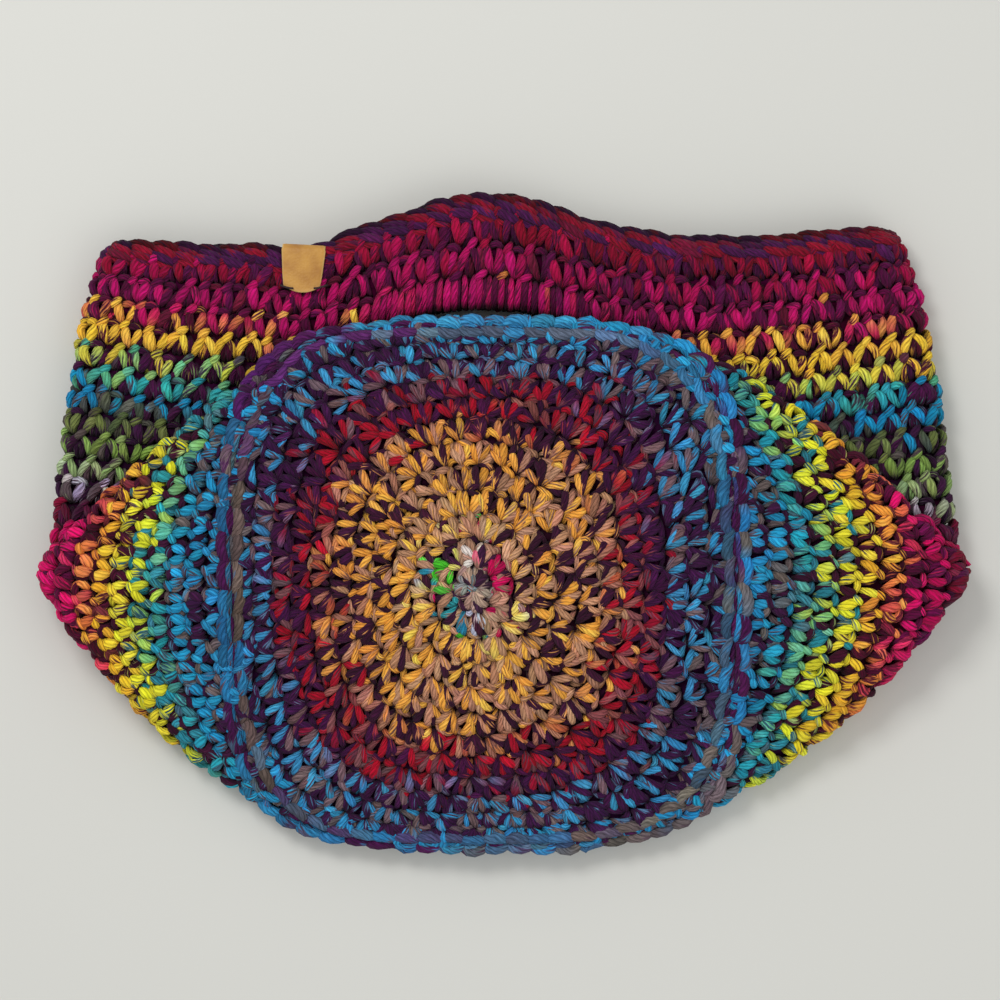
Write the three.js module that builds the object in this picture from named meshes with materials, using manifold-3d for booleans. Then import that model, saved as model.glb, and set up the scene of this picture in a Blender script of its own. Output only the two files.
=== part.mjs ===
// A crochet tote bag of thick two-strand yarn, empty and lying flat on a table.
// It was worked in rounds from the middle of its base: base, a raised chain round
// the base, the wall, a hand slot in the front and in the back, and a chained rim.
// Lying flat it folds like a sack: the base turns up over the front, a pointed
// gusset sticks out on either side, and the lowest part of the front wall lies
// hidden between the base and the front. All lengths are in millimetres.

import * as THREE from 'three';
import { LoftGeometry } from 'three/addons/geometries/LoftGeometry.js';
import { mergeVertices } from 'three/addons/utils/BufferGeometryUtils.js';
import Module from 'manifold-3d';

// Yarn fabric
const stitchesPerRound = 72;
const stitchWidth = 10.3;
const roundHeight = 9.9;
const fabric = 6; // thickness of the fabric
const grooveDepth = 1.4; // between two rounds
const crestShare = 0.42; // of a round that is its flat crest

// Bag laid flat, measured from the line between the two gusset tips
const tipReach = 209; // from the middle of the bag to a gusset tip
const wallReach = 206; // from the middle of the bag to a side fold, level with the tips
const rimReach = 181; // from the middle of the bag to an end of the mouth
const rimLevel = 141; // from the tips up to the mouth
const rimTilt = 0.018;
const cornerLift = 6; // of the mouth at its ends
const smile = 12; // how far the rounds of the front hang in the middle
const handleX = -11; // middle of the strap above the slot
const handleRise = 22; // of the strap above the mouth
const handleSpread = 58;
const insideGap = 10; // between the back and the front
const foldGap = 1.2; // between layers that lie on each other
const bottomHeight = 17; // of the fold at the bottom of the bag
const slopeLength = 112; // from the tips down to where the base lies low

// Base, seen flat
const baseRounds = 12;
const baseX = -8.6;
const baseY = -7.2;
const baseSquareness = 3.3; // 2 is a circle, more is squarer
const ringX = - 5.5; // of the middle of the rounds, off the middle of the base
const ringY = - 1.2;
const gussetRounds = 10; // from the base to a tip
const foldLip = 1.2; // the fold goes this far past the chain round the base

// Folds
const sideRoll = 10.5; // how far the rounding of a side fold reaches inwards
const edgeRoll = 9; // the same at the folds of the base
const tipRoll = 15; // length over which a gusset tip thins out
const tipLevel = 12; // height of a gusset tip
const creaseRoll = 6.6; // of the hidden fold between front and base

// Hand slots, in the front and in the back
const slotLength = 86;
const slotHeight = 12;
const slotLevel = 108.6; // from the tips up to the lower edge of a slot

// Chains
const rimChainRadius = 3.5;
const rimChainSeat = 1; // of the middle of the chain above the edge it is worked on
const baseChainWidth = 6;
const baseChainRise = 2.4; // above the rounds of the base
const chainNip = 0.7; // size between two loops of a chain, as a share

// Leather label, folded over the front of the mouth
const labelX = -90;
const labelDip = 3.2; // how far the label pulls the rim down
const labelDipSpread = 17;
const labelWidth = 20;
const labelDrop = 20.5; // from the rim down to its lower edge
const labelBackDrop = 12;
const labelLeather = 1.3;
const labelTaper = 3.5; // how much narrower its lower edge is
const labelClearance = 0.7;
const threadThickness = 0.9;
const threadLength = 4;

// Fineness of the curves
const tubeColumns = 8;
const roomColumns = 2;
const rollSteps = 3;
const ribSteps = 6;
const chainSides = 4;
const innerBase = 0.55; // share of the base that is drawn with fewer points

// Levels of the layers, from the table up
const frontBottom = fabric + insideGap;
const frontTop = frontBottom + fabric;
const turnedBottom = frontTop + foldGap;
const turnedTop = turnedBottom + fabric;
const stackHeight = turnedTop + foldGap + fabric;

const baseRadius = stitchesPerRound * stitchWidth / (2 * Math.PI);
const topFold = baseY + baseRadius + foldLip;
const bottomFold = baseY - baseRadius - foldLip;
const topOfBag = rimLevel + handleRise + rimChainSeat + rimChainRadius;
const frontRounds = Math.round( rimLevel / roundHeight );
const lowerRounds = Math.round( - bottomFold / roundHeight );

const wasm = await Module();
wasm.setup();

const clamp = THREE.MathUtils.clamp;
const lerp = THREE.MathUtils.lerp;
const smoothstep = THREE.MathUtils.smoothstep;

// Outlines of the bag laid flat

function foldEdge( side, level, fullness ) {

	const [ atTip, atBase ] = fullness;
	return new THREE.CubicBezierCurve(
		new THREE.Vector2( side * tipReach, 0 ),
		new THREE.Vector2( side * tipReach * atTip[ 0 ], level * atTip[ 1 ] ),
		new THREE.Vector2( side * tipReach * atBase[ 0 ], level * atBase[ 1 ] ),
		new THREE.Vector2( baseX, level ) );

}

const upperFullness = [ [ 0.79, 0.4 ], [ 0.47, 1.07 ] ];
const lowerFullness = [ [ [ 0.68, 0.91 ], [ 0.31, 1.01 ] ], [ [ 0.6, 0.99 ], [ 0.14, 1.02 ] ] ];
const upperEdges = [ - 1, 1 ].map( side => foldEdge( side, topFold, upperFullness ) );
const lowerEdges = [ - 1, 1 ].map( ( side, i ) => foldEdge( side, bottomFold, lowerFullness[ i ] ) );

// The y of a fold edge at x, by halving the curve's own parameter.
function edgeAt( edges, x ) {

	const left = x < baseX;
	const curve = edges[ left ? 0 : 1 ];
	let low = 0;
	let high = 1;
	for ( let step = 0; step < 40; step ++ ) {

		const middle = ( low + high ) / 2;
		const outside = left ? curve.getPoint( middle ).x < x : curve.getPoint( middle ).x > x;
		if ( outside ) low = middle; else high = middle;

	}

	return curve.getPoint( low ).y;

}

// Half the width of the bag below the tips, where its lower edge closes in.
function lowerReach( y ) {

	const curve = lowerEdges[ 1 ];
	let low = 0;
	let high = 1;
	for ( let step = 0; step < 40; step ++ ) {

		const middle = ( low + high ) / 2;
		if ( curve.getPoint( middle ).y > y ) low = middle; else high = middle;

	}

	return curve.getPoint( low ).x;

}

function halfWidth( y ) {

	if ( y < 0 ) return Math.min( wallReach, lowerReach( y ) - edgeRoll * smoothstep( - y, 0, edgeRoll ) );
	const up = y / rimLevel;
	return wallReach - ( wallReach - rimReach ) * ( 0.7 * up + 0.3 * Math.pow( up, 6 ) );

}

function rimLine( x ) {

	const hump = Math.exp( - Math.pow( ( x - handleX ) / handleSpread, 2 ) );
	const dip = Math.exp( - Math.pow( ( x - labelX ) / labelDipSpread, 4 ) );
	return rimLevel + handleRise * hump + cornerLift * Math.pow( x / rimReach, 4 )
		+ rimTilt * x - labelDip * dip;

}

// Height of the outside of the base and gussets, away from the folds.
function baseLevel( y ) {

	return stackHeight - ( stackHeight - bottomHeight ) * smoothstep( - y, 0, slopeLength );

}

// Solids

function toSolid( geometry ) {

	const bare = new THREE.BufferGeometry();
	bare.setAttribute( 'position', geometry.attributes.position );
	if ( geometry.index ) bare.setIndex( geometry.index );
	const merged = mergeVertices( bare, 1e-4 );
	const corners = Array.from( merged.index.array );
	const kept = [];
	for ( let i = 0; i < corners.length; i += 3 ) {

		const [ a, b, c ] = corners.slice( i, i + 3 );
		if ( a !== b && b !== c && c !== a ) kept.push( a, b, c );

	}

	const build = order => new wasm.Manifold( new wasm.Mesh( {
		numProp: 3,
		vertProperties: new Float32Array( merged.attributes.position.array ),
		triVerts: new Uint32Array( order )
	} ) );
	const solid = build( kept );
	if ( solid.volume() > 0 ) return solid;
	return build( kept.map( ( value, i ) => kept[ i - i % 3 + ( 3 - i % 3 ) % 3 ] ) );

}

function toGeometry( solid ) {

	const mesh = solid.getMesh();
	const geometry = new THREE.BufferGeometry();
	geometry.setAttribute( 'position', new THREE.BufferAttribute( mesh.vertProperties, 3 ) );
	geometry.setIndex( new THREE.BufferAttribute( mesh.triVerts, 1 ) );
	return geometry;

}

function loft( sections ) {

	return toSolid( new LoftGeometry( sections ) );

}

// Stations across the rounds: a groove before each round, and the round's crest.
function roundStations( count, crests ) {

	const stations = [];
	for ( let round = 0; round < count; round ++ ) {

		stations.push( { at: round, depth: grooveDepth } );
		for ( const crest of crests ) stations.push( { at: round + crest, depth: 0 } );

	}

	stations.push( { at: count, depth: grooveDepth } );
	return stations;

}

const flatCrest = [ ( 1 - crestShare ) / 2, ( 1 + crestShare ) / 2 ];
const ridge = [ 0.5 ];

// The y of the bag's round `at` rounds below the mouth, at a share of its width.
function roundLine( at, share ) {

	if ( at >= frontRounds ) {

		return bottomFold * ( at - frontRounds ) / lowerRounds;

	}

	const down = at / frontRounds;
	const x = share * halfWidth( rimLevel * ( 1 - clamp( down, 0, 1 ) ) );
	const sag = smile * 4 * down * ( 1 - down ) * ( 1 - share * share );
	return rimLine( x ) * ( 1 - down ) - ( down > 0 ? sag : 0 );

}

// One round of the flattened tube of front and back. `inset` moves it inwards.
function tubeSection( at, columns, inset, bottom, top, roll, flat ) {

	const points = [];
	const middle = ( bottom + top ) / 2;
	const place = ( share, past, z ) => {

		const y = roundLine( at, share );
		const reach = Math.max( halfWidth( y ) - inset - roll, 1 );
		points.push( new THREE.Vector3( share * reach + past, y, flat ? middle : z ) );

	};

	for ( let i = 0; i <= columns; i ++ ) place( 2 * i / columns - 1, 0, top );
	for ( let i = 1; i < rollSteps; i ++ ) {

		const angle = Math.PI * ( 0.5 - i / rollSteps );
		place( 1, roll * Math.cos( angle ), lerp( middle, top, Math.sin( angle ) ) );

	}

	for ( let i = columns; i >= 0; i -- ) place( 2 * i / columns - 1, 0, bottom );
	for ( let i = 1; i < rollSteps; i ++ ) {

		const angle = Math.PI * ( - 0.5 + i / rollSteps );
		place( - 1, - roll * Math.cos( angle ), lerp( middle, top, Math.sin( angle ) ) );

	}

	return points;

}

// Front and back as one thick slab with a groove between every two rounds.
function tubeOutside() {

	const stations = roundStations( frontRounds + lowerRounds - 1, flatCrest );
	const section = ( { at, depth }, flat ) => {

		const y = roundLine( at, 0 );
		const top = Math.min( frontTop, baseLevel( y ) - 2 * grooveDepth );
		return tubeSection( at, tubeColumns, depth, depth, top - depth, sideRoll, flat );

	};

	const sections = stations.map( station => section( station, false ) );
	return loft( [ section( stations[ 0 ], true ), ...sections, section( stations.at( - 1 ), true ) ] );

}

// The room between front and back, which runs out through the mouth.
function tubeInside() {

	const outOfMouth = - 2.5;
	const count = frontRounds + lowerRounds - 1.5;
	const steps = [ outOfMouth, 0, 4, 8, 12, frontRounds ];
	for ( let at = frontRounds + 3; at < count; at += 3 ) steps.push( at );
	steps.push( count );
	const section = ( at, flat ) => {

		const y = roundLine( at, 0 );
		const top = Math.min( frontBottom, baseLevel( y ) - fabric );
		return tubeSection( at, roomColumns, fabric, fabric, top, insideGap / 2, flat );

	};

	return loft( [
		section( steps[ 0 ], true ),
		...steps.map( at => section( at, false ) ),
		section( steps.at( - 1 ), true ) ] );

}

// Where a rib across the base and gussets meets the fold, for its x in the middle.
function ribFoot( x ) {

	const side = x < baseX ? - 1 : 1;
	const edge = baseX + side * baseRadius;
	const corner = baseX + side * baseRadius * 0.6;
	const tip = side * tipReach;
	if ( Math.abs( x - baseX ) < baseRadius ) return lerp( baseX, corner, ( x - baseX ) / ( edge - baseX ) );
	return lerp( corner, tip, ( x - edge ) / ( tip - edge ) );

}

// A section across the base and gussets, from the lower fold to the upper one.
function ribSection( x, { inset, depth, lift, low } ) {

	const foot = ribFoot( x );
	const from = edgeAt( lowerEdges, foot );
	const to = edgeAt( upperEdges, foot );
	const half = Math.max( ( to - from ) / 2, 1e-6 );
	const reach = Math.max( 1 - ( inset + depth ) / half, 0 );
	const roll = Math.min( ( edgeRoll - inset * 0.5 ) / half, 0.48 );
	const toTip = clamp( ( tipReach - inset - Math.abs( x ) ) / tipRoll, 0, 1 );
	const thin = Math.sqrt( 1 - Math.pow( 1 - toTip, 2 ) );
	const points = [];
	const place = ( across, angle ) => {

		const along = across * reach;
		const y = ( from + to ) / 2 + along * half;
		const top = baseLevel( y ) - lift - depth;
		const bottom = low( y );
		const z = lerp( bottom, top, ( 1 + Math.sin( angle ) ) / 2 );
		points.push( new THREE.Vector3( x - ( x - foot ) * along * along, y, lerp( tipLevel, z, thin ) ) );

	};

	const flatShare = 1 - roll;
	for ( let i = 0; i <= ribSteps; i ++ ) place( flatShare * ( 2 * i / ribSteps - 1 ), Math.PI / 2 );
	for ( let i = 1; i < rollSteps; i ++ ) {

		const angle = Math.PI * ( 0.5 - i / rollSteps );
		place( flatShare + roll * Math.cos( angle ), angle );

	}

	for ( let i = ribSteps; i >= 0; i -- ) place( flatShare * ( 2 * i / ribSteps - 1 ), - Math.PI / 2 );
	for ( let i = 1; i < rollSteps; i ++ ) {

		const angle = Math.PI * ( - 0.5 + i / rollSteps );
		place( - flatShare - roll * Math.cos( angle ), angle );

	}

	return points;

}

// Base and gussets as one thick lens, with the gussets' rounds as ridges.
function lensOutside() {

	const low = y => y < 0 ? grooveDepth + 0.4 : frontTop - grooveDepth - 1;
	const underBase = grooveDepth + 1;
	const sections = [];
	const gusset = side => {

		const edge = baseX + side * baseRadius;
		const width = ( tipReach - Math.abs( edge ) ) / gussetRounds;
		const list = roundStations( gussetRounds, ridge ).slice( 0, - 1 ).map( ( { at, depth } ) =>
			ribSection( edge + side * at * width, { inset: 0, depth, lift: 0, low } ) );
		list.push( ribSection( side * ( tipReach - 3 ), { inset: 0, depth: 0, lift: 0, low } ) );
		list.push( ribSection( side * ( tipReach - 0.8 ), { inset: 0, depth: 0, lift: 0, low } ) );
		list.push( ribSection( side * tipReach, { inset: 0, depth: 0, lift: 0, low } ) );
		return list;

	};

	sections.push( ...gusset( - 1 ).reverse() );
	const ribs = 10;
	for ( let i = 0; i <= ribs; i ++ ) {

		const x = baseX + ( baseRadius - fabric ) * ( 2 * i / ribs - 1 );
		sections.push( ribSection( x, { inset: 0, depth: 0, lift: underBase, low } ) );

	}

	sections.push( ...gusset( 1 ) );
	return loft( sections );

}

// The room under the base and gussets.
function lensInside() {

	const sections = [];
	const reach = tipReach - fabric - tipRoll / 2;
	const count = 14;
	for ( let i = 0; i <= count; i ++ ) {

		const x = reach * ( 2 * i / count - 1 );
		sections.push( ribSection( x, { inset: fabric, depth: 0, lift: fabric, low: () => fabric } ) );

	}

	const closed = section => {

		const middle = fabric + insideGap / 2;
		return section.map( point => new THREE.Vector3( point.x, point.y, middle ) );

	};

	return loft( [ closed( sections[ 0 ] ), ...sections, closed( sections.at( - 1 ) ) ] );

}

// A bar along X with a rounded nose towards the bottom of the bag.
function creaseBlock( bottom, top, nose ) {

	const radius = ( top - bottom ) / 2;
	const middle = ( top + bottom ) / 2;
	const shape = new THREE.Shape();
	shape.moveTo( topOfBag * 2, bottom );
	shape.lineTo( topOfBag * 2, top );
	shape.lineTo( nose, top );
	shape.absellipse( nose, middle, nose + creaseRoll, radius, Math.PI / 2, Math.PI * 1.5, false );
	shape.closePath();
	const length = 3 * tipReach;
	const geometry = new THREE.ExtrudeGeometry( shape, { depth: length, bevelEnabled: false, curveSegments: 8 } );
	geometry.translate( 0, 0, - length / 2 );
	geometry.rotateX( Math.PI / 2 );
	geometry.rotateZ( Math.PI / 2 );
	return toSolid( geometry );

}

// The gap between the front and the turned-up part of the bag.
function pocketGap() {

	const depth = 2 * topOfBag;
	const gap = new THREE.BoxGeometry( 3 * tipReach, depth, foldGap );
	gap.translate( 0, depth / 2, frontTop + foldGap / 2 );
	return toSolid( gap );

}

function slotCutter( bottom, top ) {

	const half = slotLength / 2;
	const shape = new THREE.Shape();
	shape.moveTo( - half, slotHeight / 2 );
	shape.quadraticCurveTo( - half * 0.8, 0, 0, 0 );
	shape.quadraticCurveTo( half * 0.8, 0, half, slotHeight / 2 );
	shape.quadraticCurveTo( half * 0.8, slotHeight, 0, slotHeight );
	shape.quadraticCurveTo( - half * 0.8, slotHeight, - half, slotHeight / 2 );
	const geometry = new THREE.ExtrudeGeometry( shape, {
		depth: top - bottom, bevelEnabled: false, curveSegments: 5 } );
	geometry.translate( handleX, slotLevel, bottom );
	return toSolid( geometry );

}

// Height of the outside of base and gussets at a point, with the rounding of the folds.
function foldedLevel( x, y ) {

	const toEdge = Math.min( edgeAt( upperEdges, x ) - y, y - edgeAt( lowerEdges, x ) );
	const top = baseLevel( y );
	const bottom = y < 0 ? grooveDepth : frontTop - grooveDepth - 1;
	const inwards = clamp( 1 - toEdge / edgeRoll, 0, 0.98 );
	return lerp( ( bottom + top ) / 2, top, Math.sqrt( 1 - inwards * inwards ) );

}

// A point of the base, at a share of its radius.
function basePoint( share, angle, lift ) {

	const power = lerp( 2, baseSquareness, share * share );
	const spread = Math.pow( Math.abs( Math.cos( angle ) ), power ) + Math.pow( Math.abs( Math.sin( angle ) ), power );
	const radius = share * baseRadius / Math.pow( spread, 1 / power );
	const off = 1 - share * share;
	const x = baseX + ringX * off + radius * Math.cos( angle );
	const y = baseY + ringY * off + radius * Math.sin( angle );
	return new THREE.Vector3( x, y, foldedLevel( x, y ) + lift );

}

// A ring of the base. The chain has two points for each stitch, other rings have fewer.
function baseRing( share, step, liftOf ) {

	return Array.from( { length: 2 * stitchesPerRound }, ( _, i ) => {

		const point = i - i % step;
		return basePoint( share, Math.PI * point / stitchesPerRound, liftOf( point ) );

	} );

}

// The rounds of the base as rings with the raised chain round them, on top of the lens.
function baseDisc() {

	const buried = grooveDepth + 2.2;
	const chain = baseChainWidth / baseRadius;
	const reach = 1 - chain;
	const plainRing = ( share, lift ) => baseRing( share, share < innerBase ? 4 : 3, () => lift );
	const rings = roundStations( baseRounds, ridge ).slice( 1 ).map( ( { at, depth } ) =>
		plainRing( reach * at / baseRounds, - depth ) );
	const chainRing = baseRing( reach + chain / 2, 1, i => baseChainRise * ( i % 2 ? 1 : chainNip ) );
	const under = [ 1, 0.7, 0.4, 0 ].map( share => plainRing( share, - buried ) );
	return loft( [ plainRing( 0, 0 ), ...rings, chainRing, plainRing( 1, - grooveDepth ), ...under ] );

}

// A chain of loops along a closed path, as a bead that is nipped between loops.
function chainAlong( path, radius ) {

	const count = 2 * path.length;
	const curve = new THREE.CatmullRomCurve3( path, true );
	const sections = [];
	for ( let i = 0; i < count; i ++ ) {

		const at = curve.getPoint( i / count );
		const ahead = curve.getTangent( i / count );
		const side = new THREE.Vector3( 0, 0, 1 ).cross( ahead ).normalize();
		const up = new THREE.Vector3().crossVectors( ahead, side ).normalize();
		const r = radius * ( i % 2 ? 1 : chainNip );
		sections.push( Array.from( { length: chainSides }, ( _, k ) => {

			const angle = 2 * Math.PI * k / chainSides;
			return at.clone()
				.addScaledVector( side, r * Math.cos( angle ) )
				.addScaledVector( up, r * Math.sin( angle ) );

		} ) );

	}

	sections.push( sections[ 0 ] );
	return loft( sections );

}

function rimChain() {

	const low = Math.max( fabric / 2, rimChainRadius ) + foldGap / 4;
	const high = frontTop - fabric / 2;
	const radius = ( high - low ) / 2;
	const path = [];
	const across = Math.round( stitchesPerRound / 2 ) - 3;
	const place = ( share, angle ) => {

		const y = roundLine( 0, share );
		const x = share * ( halfWidth( y ) - sideRoll ) + Math.sign( share ) * radius * Math.cos( angle );
		path.push( new THREE.Vector3( x, y + rimChainSeat, ( low + high ) / 2 + radius * Math.sin( angle ) ) );

	};

	const quarter = Math.PI / 2;
	for ( let i = 0; i <= across; i ++ ) place( 2 * i / across - 1, quarter );
	for ( const turn of [ 0.5, 0, - 0.5 ] ) place( 1, turn * quarter );
	for ( let i = across; i >= 0; i -- ) place( 2 * i / across - 1, - quarter );
	for ( const turn of [ - 0.5, 0, 0.5 ] ) place( - 1, turn * quarter );
	return chainAlong( path, rimChainRadius );

}

// The largest body of a solid, without crumbs that a cut may leave.
function largest( solid ) {

	return solid.decompose().sort( ( a, b ) => b.volume() - a.volume() )[ 0 ];

}

function crochetBody() {

	const crease = creaseBlock( frontBottom, turnedTop, 0 );
	const room = tubeInside().add( lensInside() ).subtract( crease );
	return largest( tubeOutside()
		.add( lensOutside() )
		.subtract( pocketGap() )
		.add( baseDisc() )
		.subtract( room )
		.subtract( slotCutter( - fabric, fabric + insideGap / 2 ) )
		.subtract( slotCutter( frontBottom - insideGap / 2, frontTop + foldGap / 2 ) )
		.add( rimChain() ) );

}

// Where the label's fold clears the rim.
function labelRim() {

	return rimLine( labelX ) + rimChainSeat + rimChainRadius + labelClearance;

}

// Leather label, as a folded strip with a rounded lower edge.
function label() {

	const rim = labelRim();
	const innerTop = frontTop + rimChainRadius - fabric / 2 + labelClearance;
	const innerBottom = frontBottom - rimChainRadius + fabric / 2 - labelClearance;
	const strip = new THREE.Shape();
	strip.moveTo( rim - labelDrop, innerTop );
	strip.lineTo( rim - labelDrop, innerTop + labelLeather );
	strip.lineTo( rim - labelLeather, innerTop + labelLeather );
	strip.quadraticCurveTo( rim + labelLeather, innerTop + labelLeather, rim + labelLeather, innerTop - labelLeather );
	strip.lineTo( rim + labelLeather, innerBottom + labelLeather );
	strip.quadraticCurveTo( rim + labelLeather, innerBottom - labelLeather, rim - labelLeather, innerBottom - labelLeather );
	strip.lineTo( rim - labelBackDrop, innerBottom - labelLeather );
	strip.lineTo( rim - labelBackDrop, innerBottom );
	strip.lineTo( rim - labelLeather, innerBottom );
	strip.quadraticCurveTo( rim, innerBottom, rim, innerBottom + labelLeather );
	strip.lineTo( rim, innerTop - labelLeather );
	strip.quadraticCurveTo( rim, innerTop, rim - labelLeather, innerTop );
	strip.closePath();
	const geometry = new THREE.ExtrudeGeometry( strip, {
		depth: labelWidth, bevelEnabled: false, curveSegments: 5 } );
	geometry.translate( 0, 0, - labelWidth / 2 );
	geometry.rotateX( Math.PI / 2 );
	geometry.rotateZ( Math.PI / 2 );
	geometry.translate( labelX, 0, 0 );

	const outline = new THREE.Shape();
	const low = rim - labelDrop;
	const half = labelWidth / 2;
	const bow = labelTaper;
	outline.moveTo( labelX - half, rim + 2 * labelLeather );
	outline.lineTo( labelX - half + labelTaper / 2, low + bow );
	outline.quadraticCurveTo( labelX - half + bow, low + bow * 0.4, labelX, low );
	outline.quadraticCurveTo( labelX + half - bow, low + bow * 0.4, labelX + half - labelTaper / 2, low + bow );
	outline.lineTo( labelX + half, rim + 2 * labelLeather );
	outline.closePath();
	const keep = new THREE.ExtrudeGeometry( outline, { depth: stackHeight, bevelEnabled: false, curveSegments: 6 } );
	return toSolid( geometry ).intersect( toSolid( keep ) );

}

// A thread stitch over the lower edge of the label, into the fabric beside it.
function labelThread( side ) {

	const rim = labelRim();
	const top = frontTop + rimChainRadius - fabric / 2 + labelClearance + labelLeather;
	const x = labelX + side * ( labelWidth / 2 - labelTaper );
	const y = rim - labelDrop + labelTaper;
	const r = threadThickness / 2;
	const height = top + r + labelClearance;
	const path = new THREE.CatmullRomCurve3( [
		new THREE.Vector3( x - side * threadLength * 0.4, y + threadLength * 0.2, height ),
		new THREE.Vector3( x, y - threadLength * 0.1, height ),
		new THREE.Vector3( x + side * threadLength * 0.55, y - threadLength * 0.35, height - r ),
		new THREE.Vector3( x + side * threadLength * 0.95, y - threadLength * 0.6, frontTop + r + labelClearance )
	] );
	const section = new THREE.Shape();
	section.absellipse( 0, 0, r, r, 0, 2 * Math.PI );
	return toSolid( new THREE.ExtrudeGeometry( section, {
		steps: 8, curveSegments: 3, extrudePath: path, bevelEnabled: false } ) );

}

// Finishes

const yarn = new THREE.MeshStandardMaterial( { color: 0x6b3a52, roughness: 0.95 } );
const leather = new THREE.MeshStandardMaterial( { color: 0xb98a5e, roughness: 0.6 } );
const thread = new THREE.MeshStandardMaterial( { color: 0x2c2230, roughness: 0.9 } );

// The bag is placed with the middle of its outline at the origin.
const bag = new THREE.Group();
const middle = ( topOfBag + bottomFold ) / 2;

function addPiece( name, solid, material ) {

	const mesh = new THREE.Mesh( toGeometry( solid ), material );
	mesh.name = name;
	mesh.position.y = - middle;
	bag.add( mesh );

}

addPiece( 'crochet_body', crochetBody(), yarn );
addPiece( 'leather_label', label(), leather );
addPiece( 'label_thread_left', labelThread( - 1 ), thread );
addPiece( 'label_thread_right', labelThread( 1 ), thread );

export default bag;
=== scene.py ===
import math

import bpy
import numpy as np
from mathutils import Matrix, Vector


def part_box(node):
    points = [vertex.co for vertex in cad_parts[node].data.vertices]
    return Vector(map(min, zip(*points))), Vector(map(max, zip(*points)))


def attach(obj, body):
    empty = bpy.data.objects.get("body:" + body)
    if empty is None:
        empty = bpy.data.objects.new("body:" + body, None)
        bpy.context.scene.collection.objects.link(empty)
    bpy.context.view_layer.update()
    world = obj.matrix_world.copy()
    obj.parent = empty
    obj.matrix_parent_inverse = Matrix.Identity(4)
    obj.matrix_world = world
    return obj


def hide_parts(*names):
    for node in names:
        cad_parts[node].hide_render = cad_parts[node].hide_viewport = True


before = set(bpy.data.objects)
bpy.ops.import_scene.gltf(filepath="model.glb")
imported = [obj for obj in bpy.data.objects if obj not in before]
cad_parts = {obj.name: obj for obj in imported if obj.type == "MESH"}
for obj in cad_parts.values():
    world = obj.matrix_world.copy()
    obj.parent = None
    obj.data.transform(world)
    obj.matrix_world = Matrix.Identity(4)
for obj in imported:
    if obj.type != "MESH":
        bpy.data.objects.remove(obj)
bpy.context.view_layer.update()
chance = np.random.default_rng(41)

# Sizes of the folded bag in millimetres, as the CAD has them
bag = {
    "stitches": 72, "stitchWidth": 10.3, "roundHeight": 9.9, "fabric": 6.0,
    "tipReach": 209.0, "wallReach": 206.0, "rimReach": 181.0, "rimLevel": 141.0, "rimTilt": 0.018,
    "cornerLift": 6.0, "smile": 12.0, "handleX": -11.0, "handleRise": 22.0, "handleSpread": 58.0,
    "frontTop": 22.0, "turnedBottom": 23.2, "turnedLow": 1.8, "turnedStep": 14.0, "stackHeight": 36.4,
    "bottomHeight": 17.0, "slopeLength": 112.0, "frontRounds": 14, "lowerRounds": 13,
    "baseX": -8.6, "baseY": -7.2, "baseRadius": 118.03, "baseSquareness": 3.3,
    "topFold": 112.03, "bottomFold": -126.43, "edgeRoll": 9.0, "sideRoll": 10.5,
    "tipRoll": 15.0, "tipLevel": 12.0, "middle": 20.535,
    "labelX": -90.0, "labelDip": 3.2, "labelDipSpread": 17.0, "slotLength": 86.0,
    "seat": 1.5,  # how deep the middle of a strand's path lies under the CAD surface
    "tableSeat": 4.0,  # the same on the side that lies on the table
    "sideSeat": 2.0, "foldSeat": 1.0,  # how much tighter the strands roll round an edge than the CAD does
}


def smoothStep(value, low, high):
    t = np.clip((value - low) / (high - low), 0, 1)
    return t * t * (3 - 2 * t)


def lerp(a, b, t):
    return a + (b - a) * t


def unit(v):
    return v / np.maximum(np.linalg.norm(v, axis=-1, keepdims=True), 1e-9)


# Fold edges of the turned-up part, as tables of x and y. Each half is a curve from its tip to the middle,
# pulled by two points: shares of the reach and of the fold's level, near the tip and near the base.
foldPulls = {"upper": [((0.79, 0.4), (0.47, 1.07))] * 2,
             "lower": [((0.68, 0.91), (0.31, 1.01)), ((0.6, 0.99), (0.14, 1.02))]}


def foldTable(level, pulls):
    t = np.linspace(0, 1, 400)[:, None]
    weights = (1 - t) ** 3, 3 * (1 - t) ** 2 * t, 3 * (1 - t) * t * t, t ** 3
    halves = []
    for side, (nearTip, nearBase) in zip((-1, 1), pulls):
        tip = side * bag["tipReach"]
        corners = np.array([[tip, 0], [tip * nearTip[0], level * nearTip[1]],
                            [tip * nearBase[0], level * nearBase[1]], [bag["baseX"], level]])
        halves.append(sum(weight * corner for weight, corner in zip(weights, corners)))
    return np.vstack([halves[0], halves[1][::-1][1:]])


upperFold = foldTable(bag["topFold"], foldPulls["upper"])
lowerFold = foldTable(bag["bottomFold"], foldPulls["lower"])


def upperEdge(x):
    return np.interp(x, upperFold[:, 0], upperFold[:, 1])


def lowerEdge(x):
    return np.interp(x, lowerFold[:, 0], lowerFold[:, 1])


def lowerReach(y):
    half = lowerFold[len(lowerFold) // 2:]
    return np.interp(y, half[:, 1], half[:, 0])


def halfWidth(y):
    up = np.clip(y / bag["rimLevel"], 0, 1.3)
    taper = 0.7 * up + 0.3 * up ** 6
    above = bag["wallReach"] - (bag["wallReach"] - bag["rimReach"]) * taper
    return np.where(y < 0, lowerReach(np.minimum(y, 0)), above)


def rimLine(x):
    hump = np.exp(-((x - bag["handleX"]) / bag["handleSpread"]) ** 2)
    dip = np.exp(-((x - bag["labelX"]) / bag["labelDipSpread"]) ** 4)
    return (bag["rimLevel"] + bag["handleRise"] * hump + bag["cornerLift"] * (x / bag["rimReach"]) ** 4
            + bag["rimTilt"] * x - bag["labelDip"] * dip)


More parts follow.
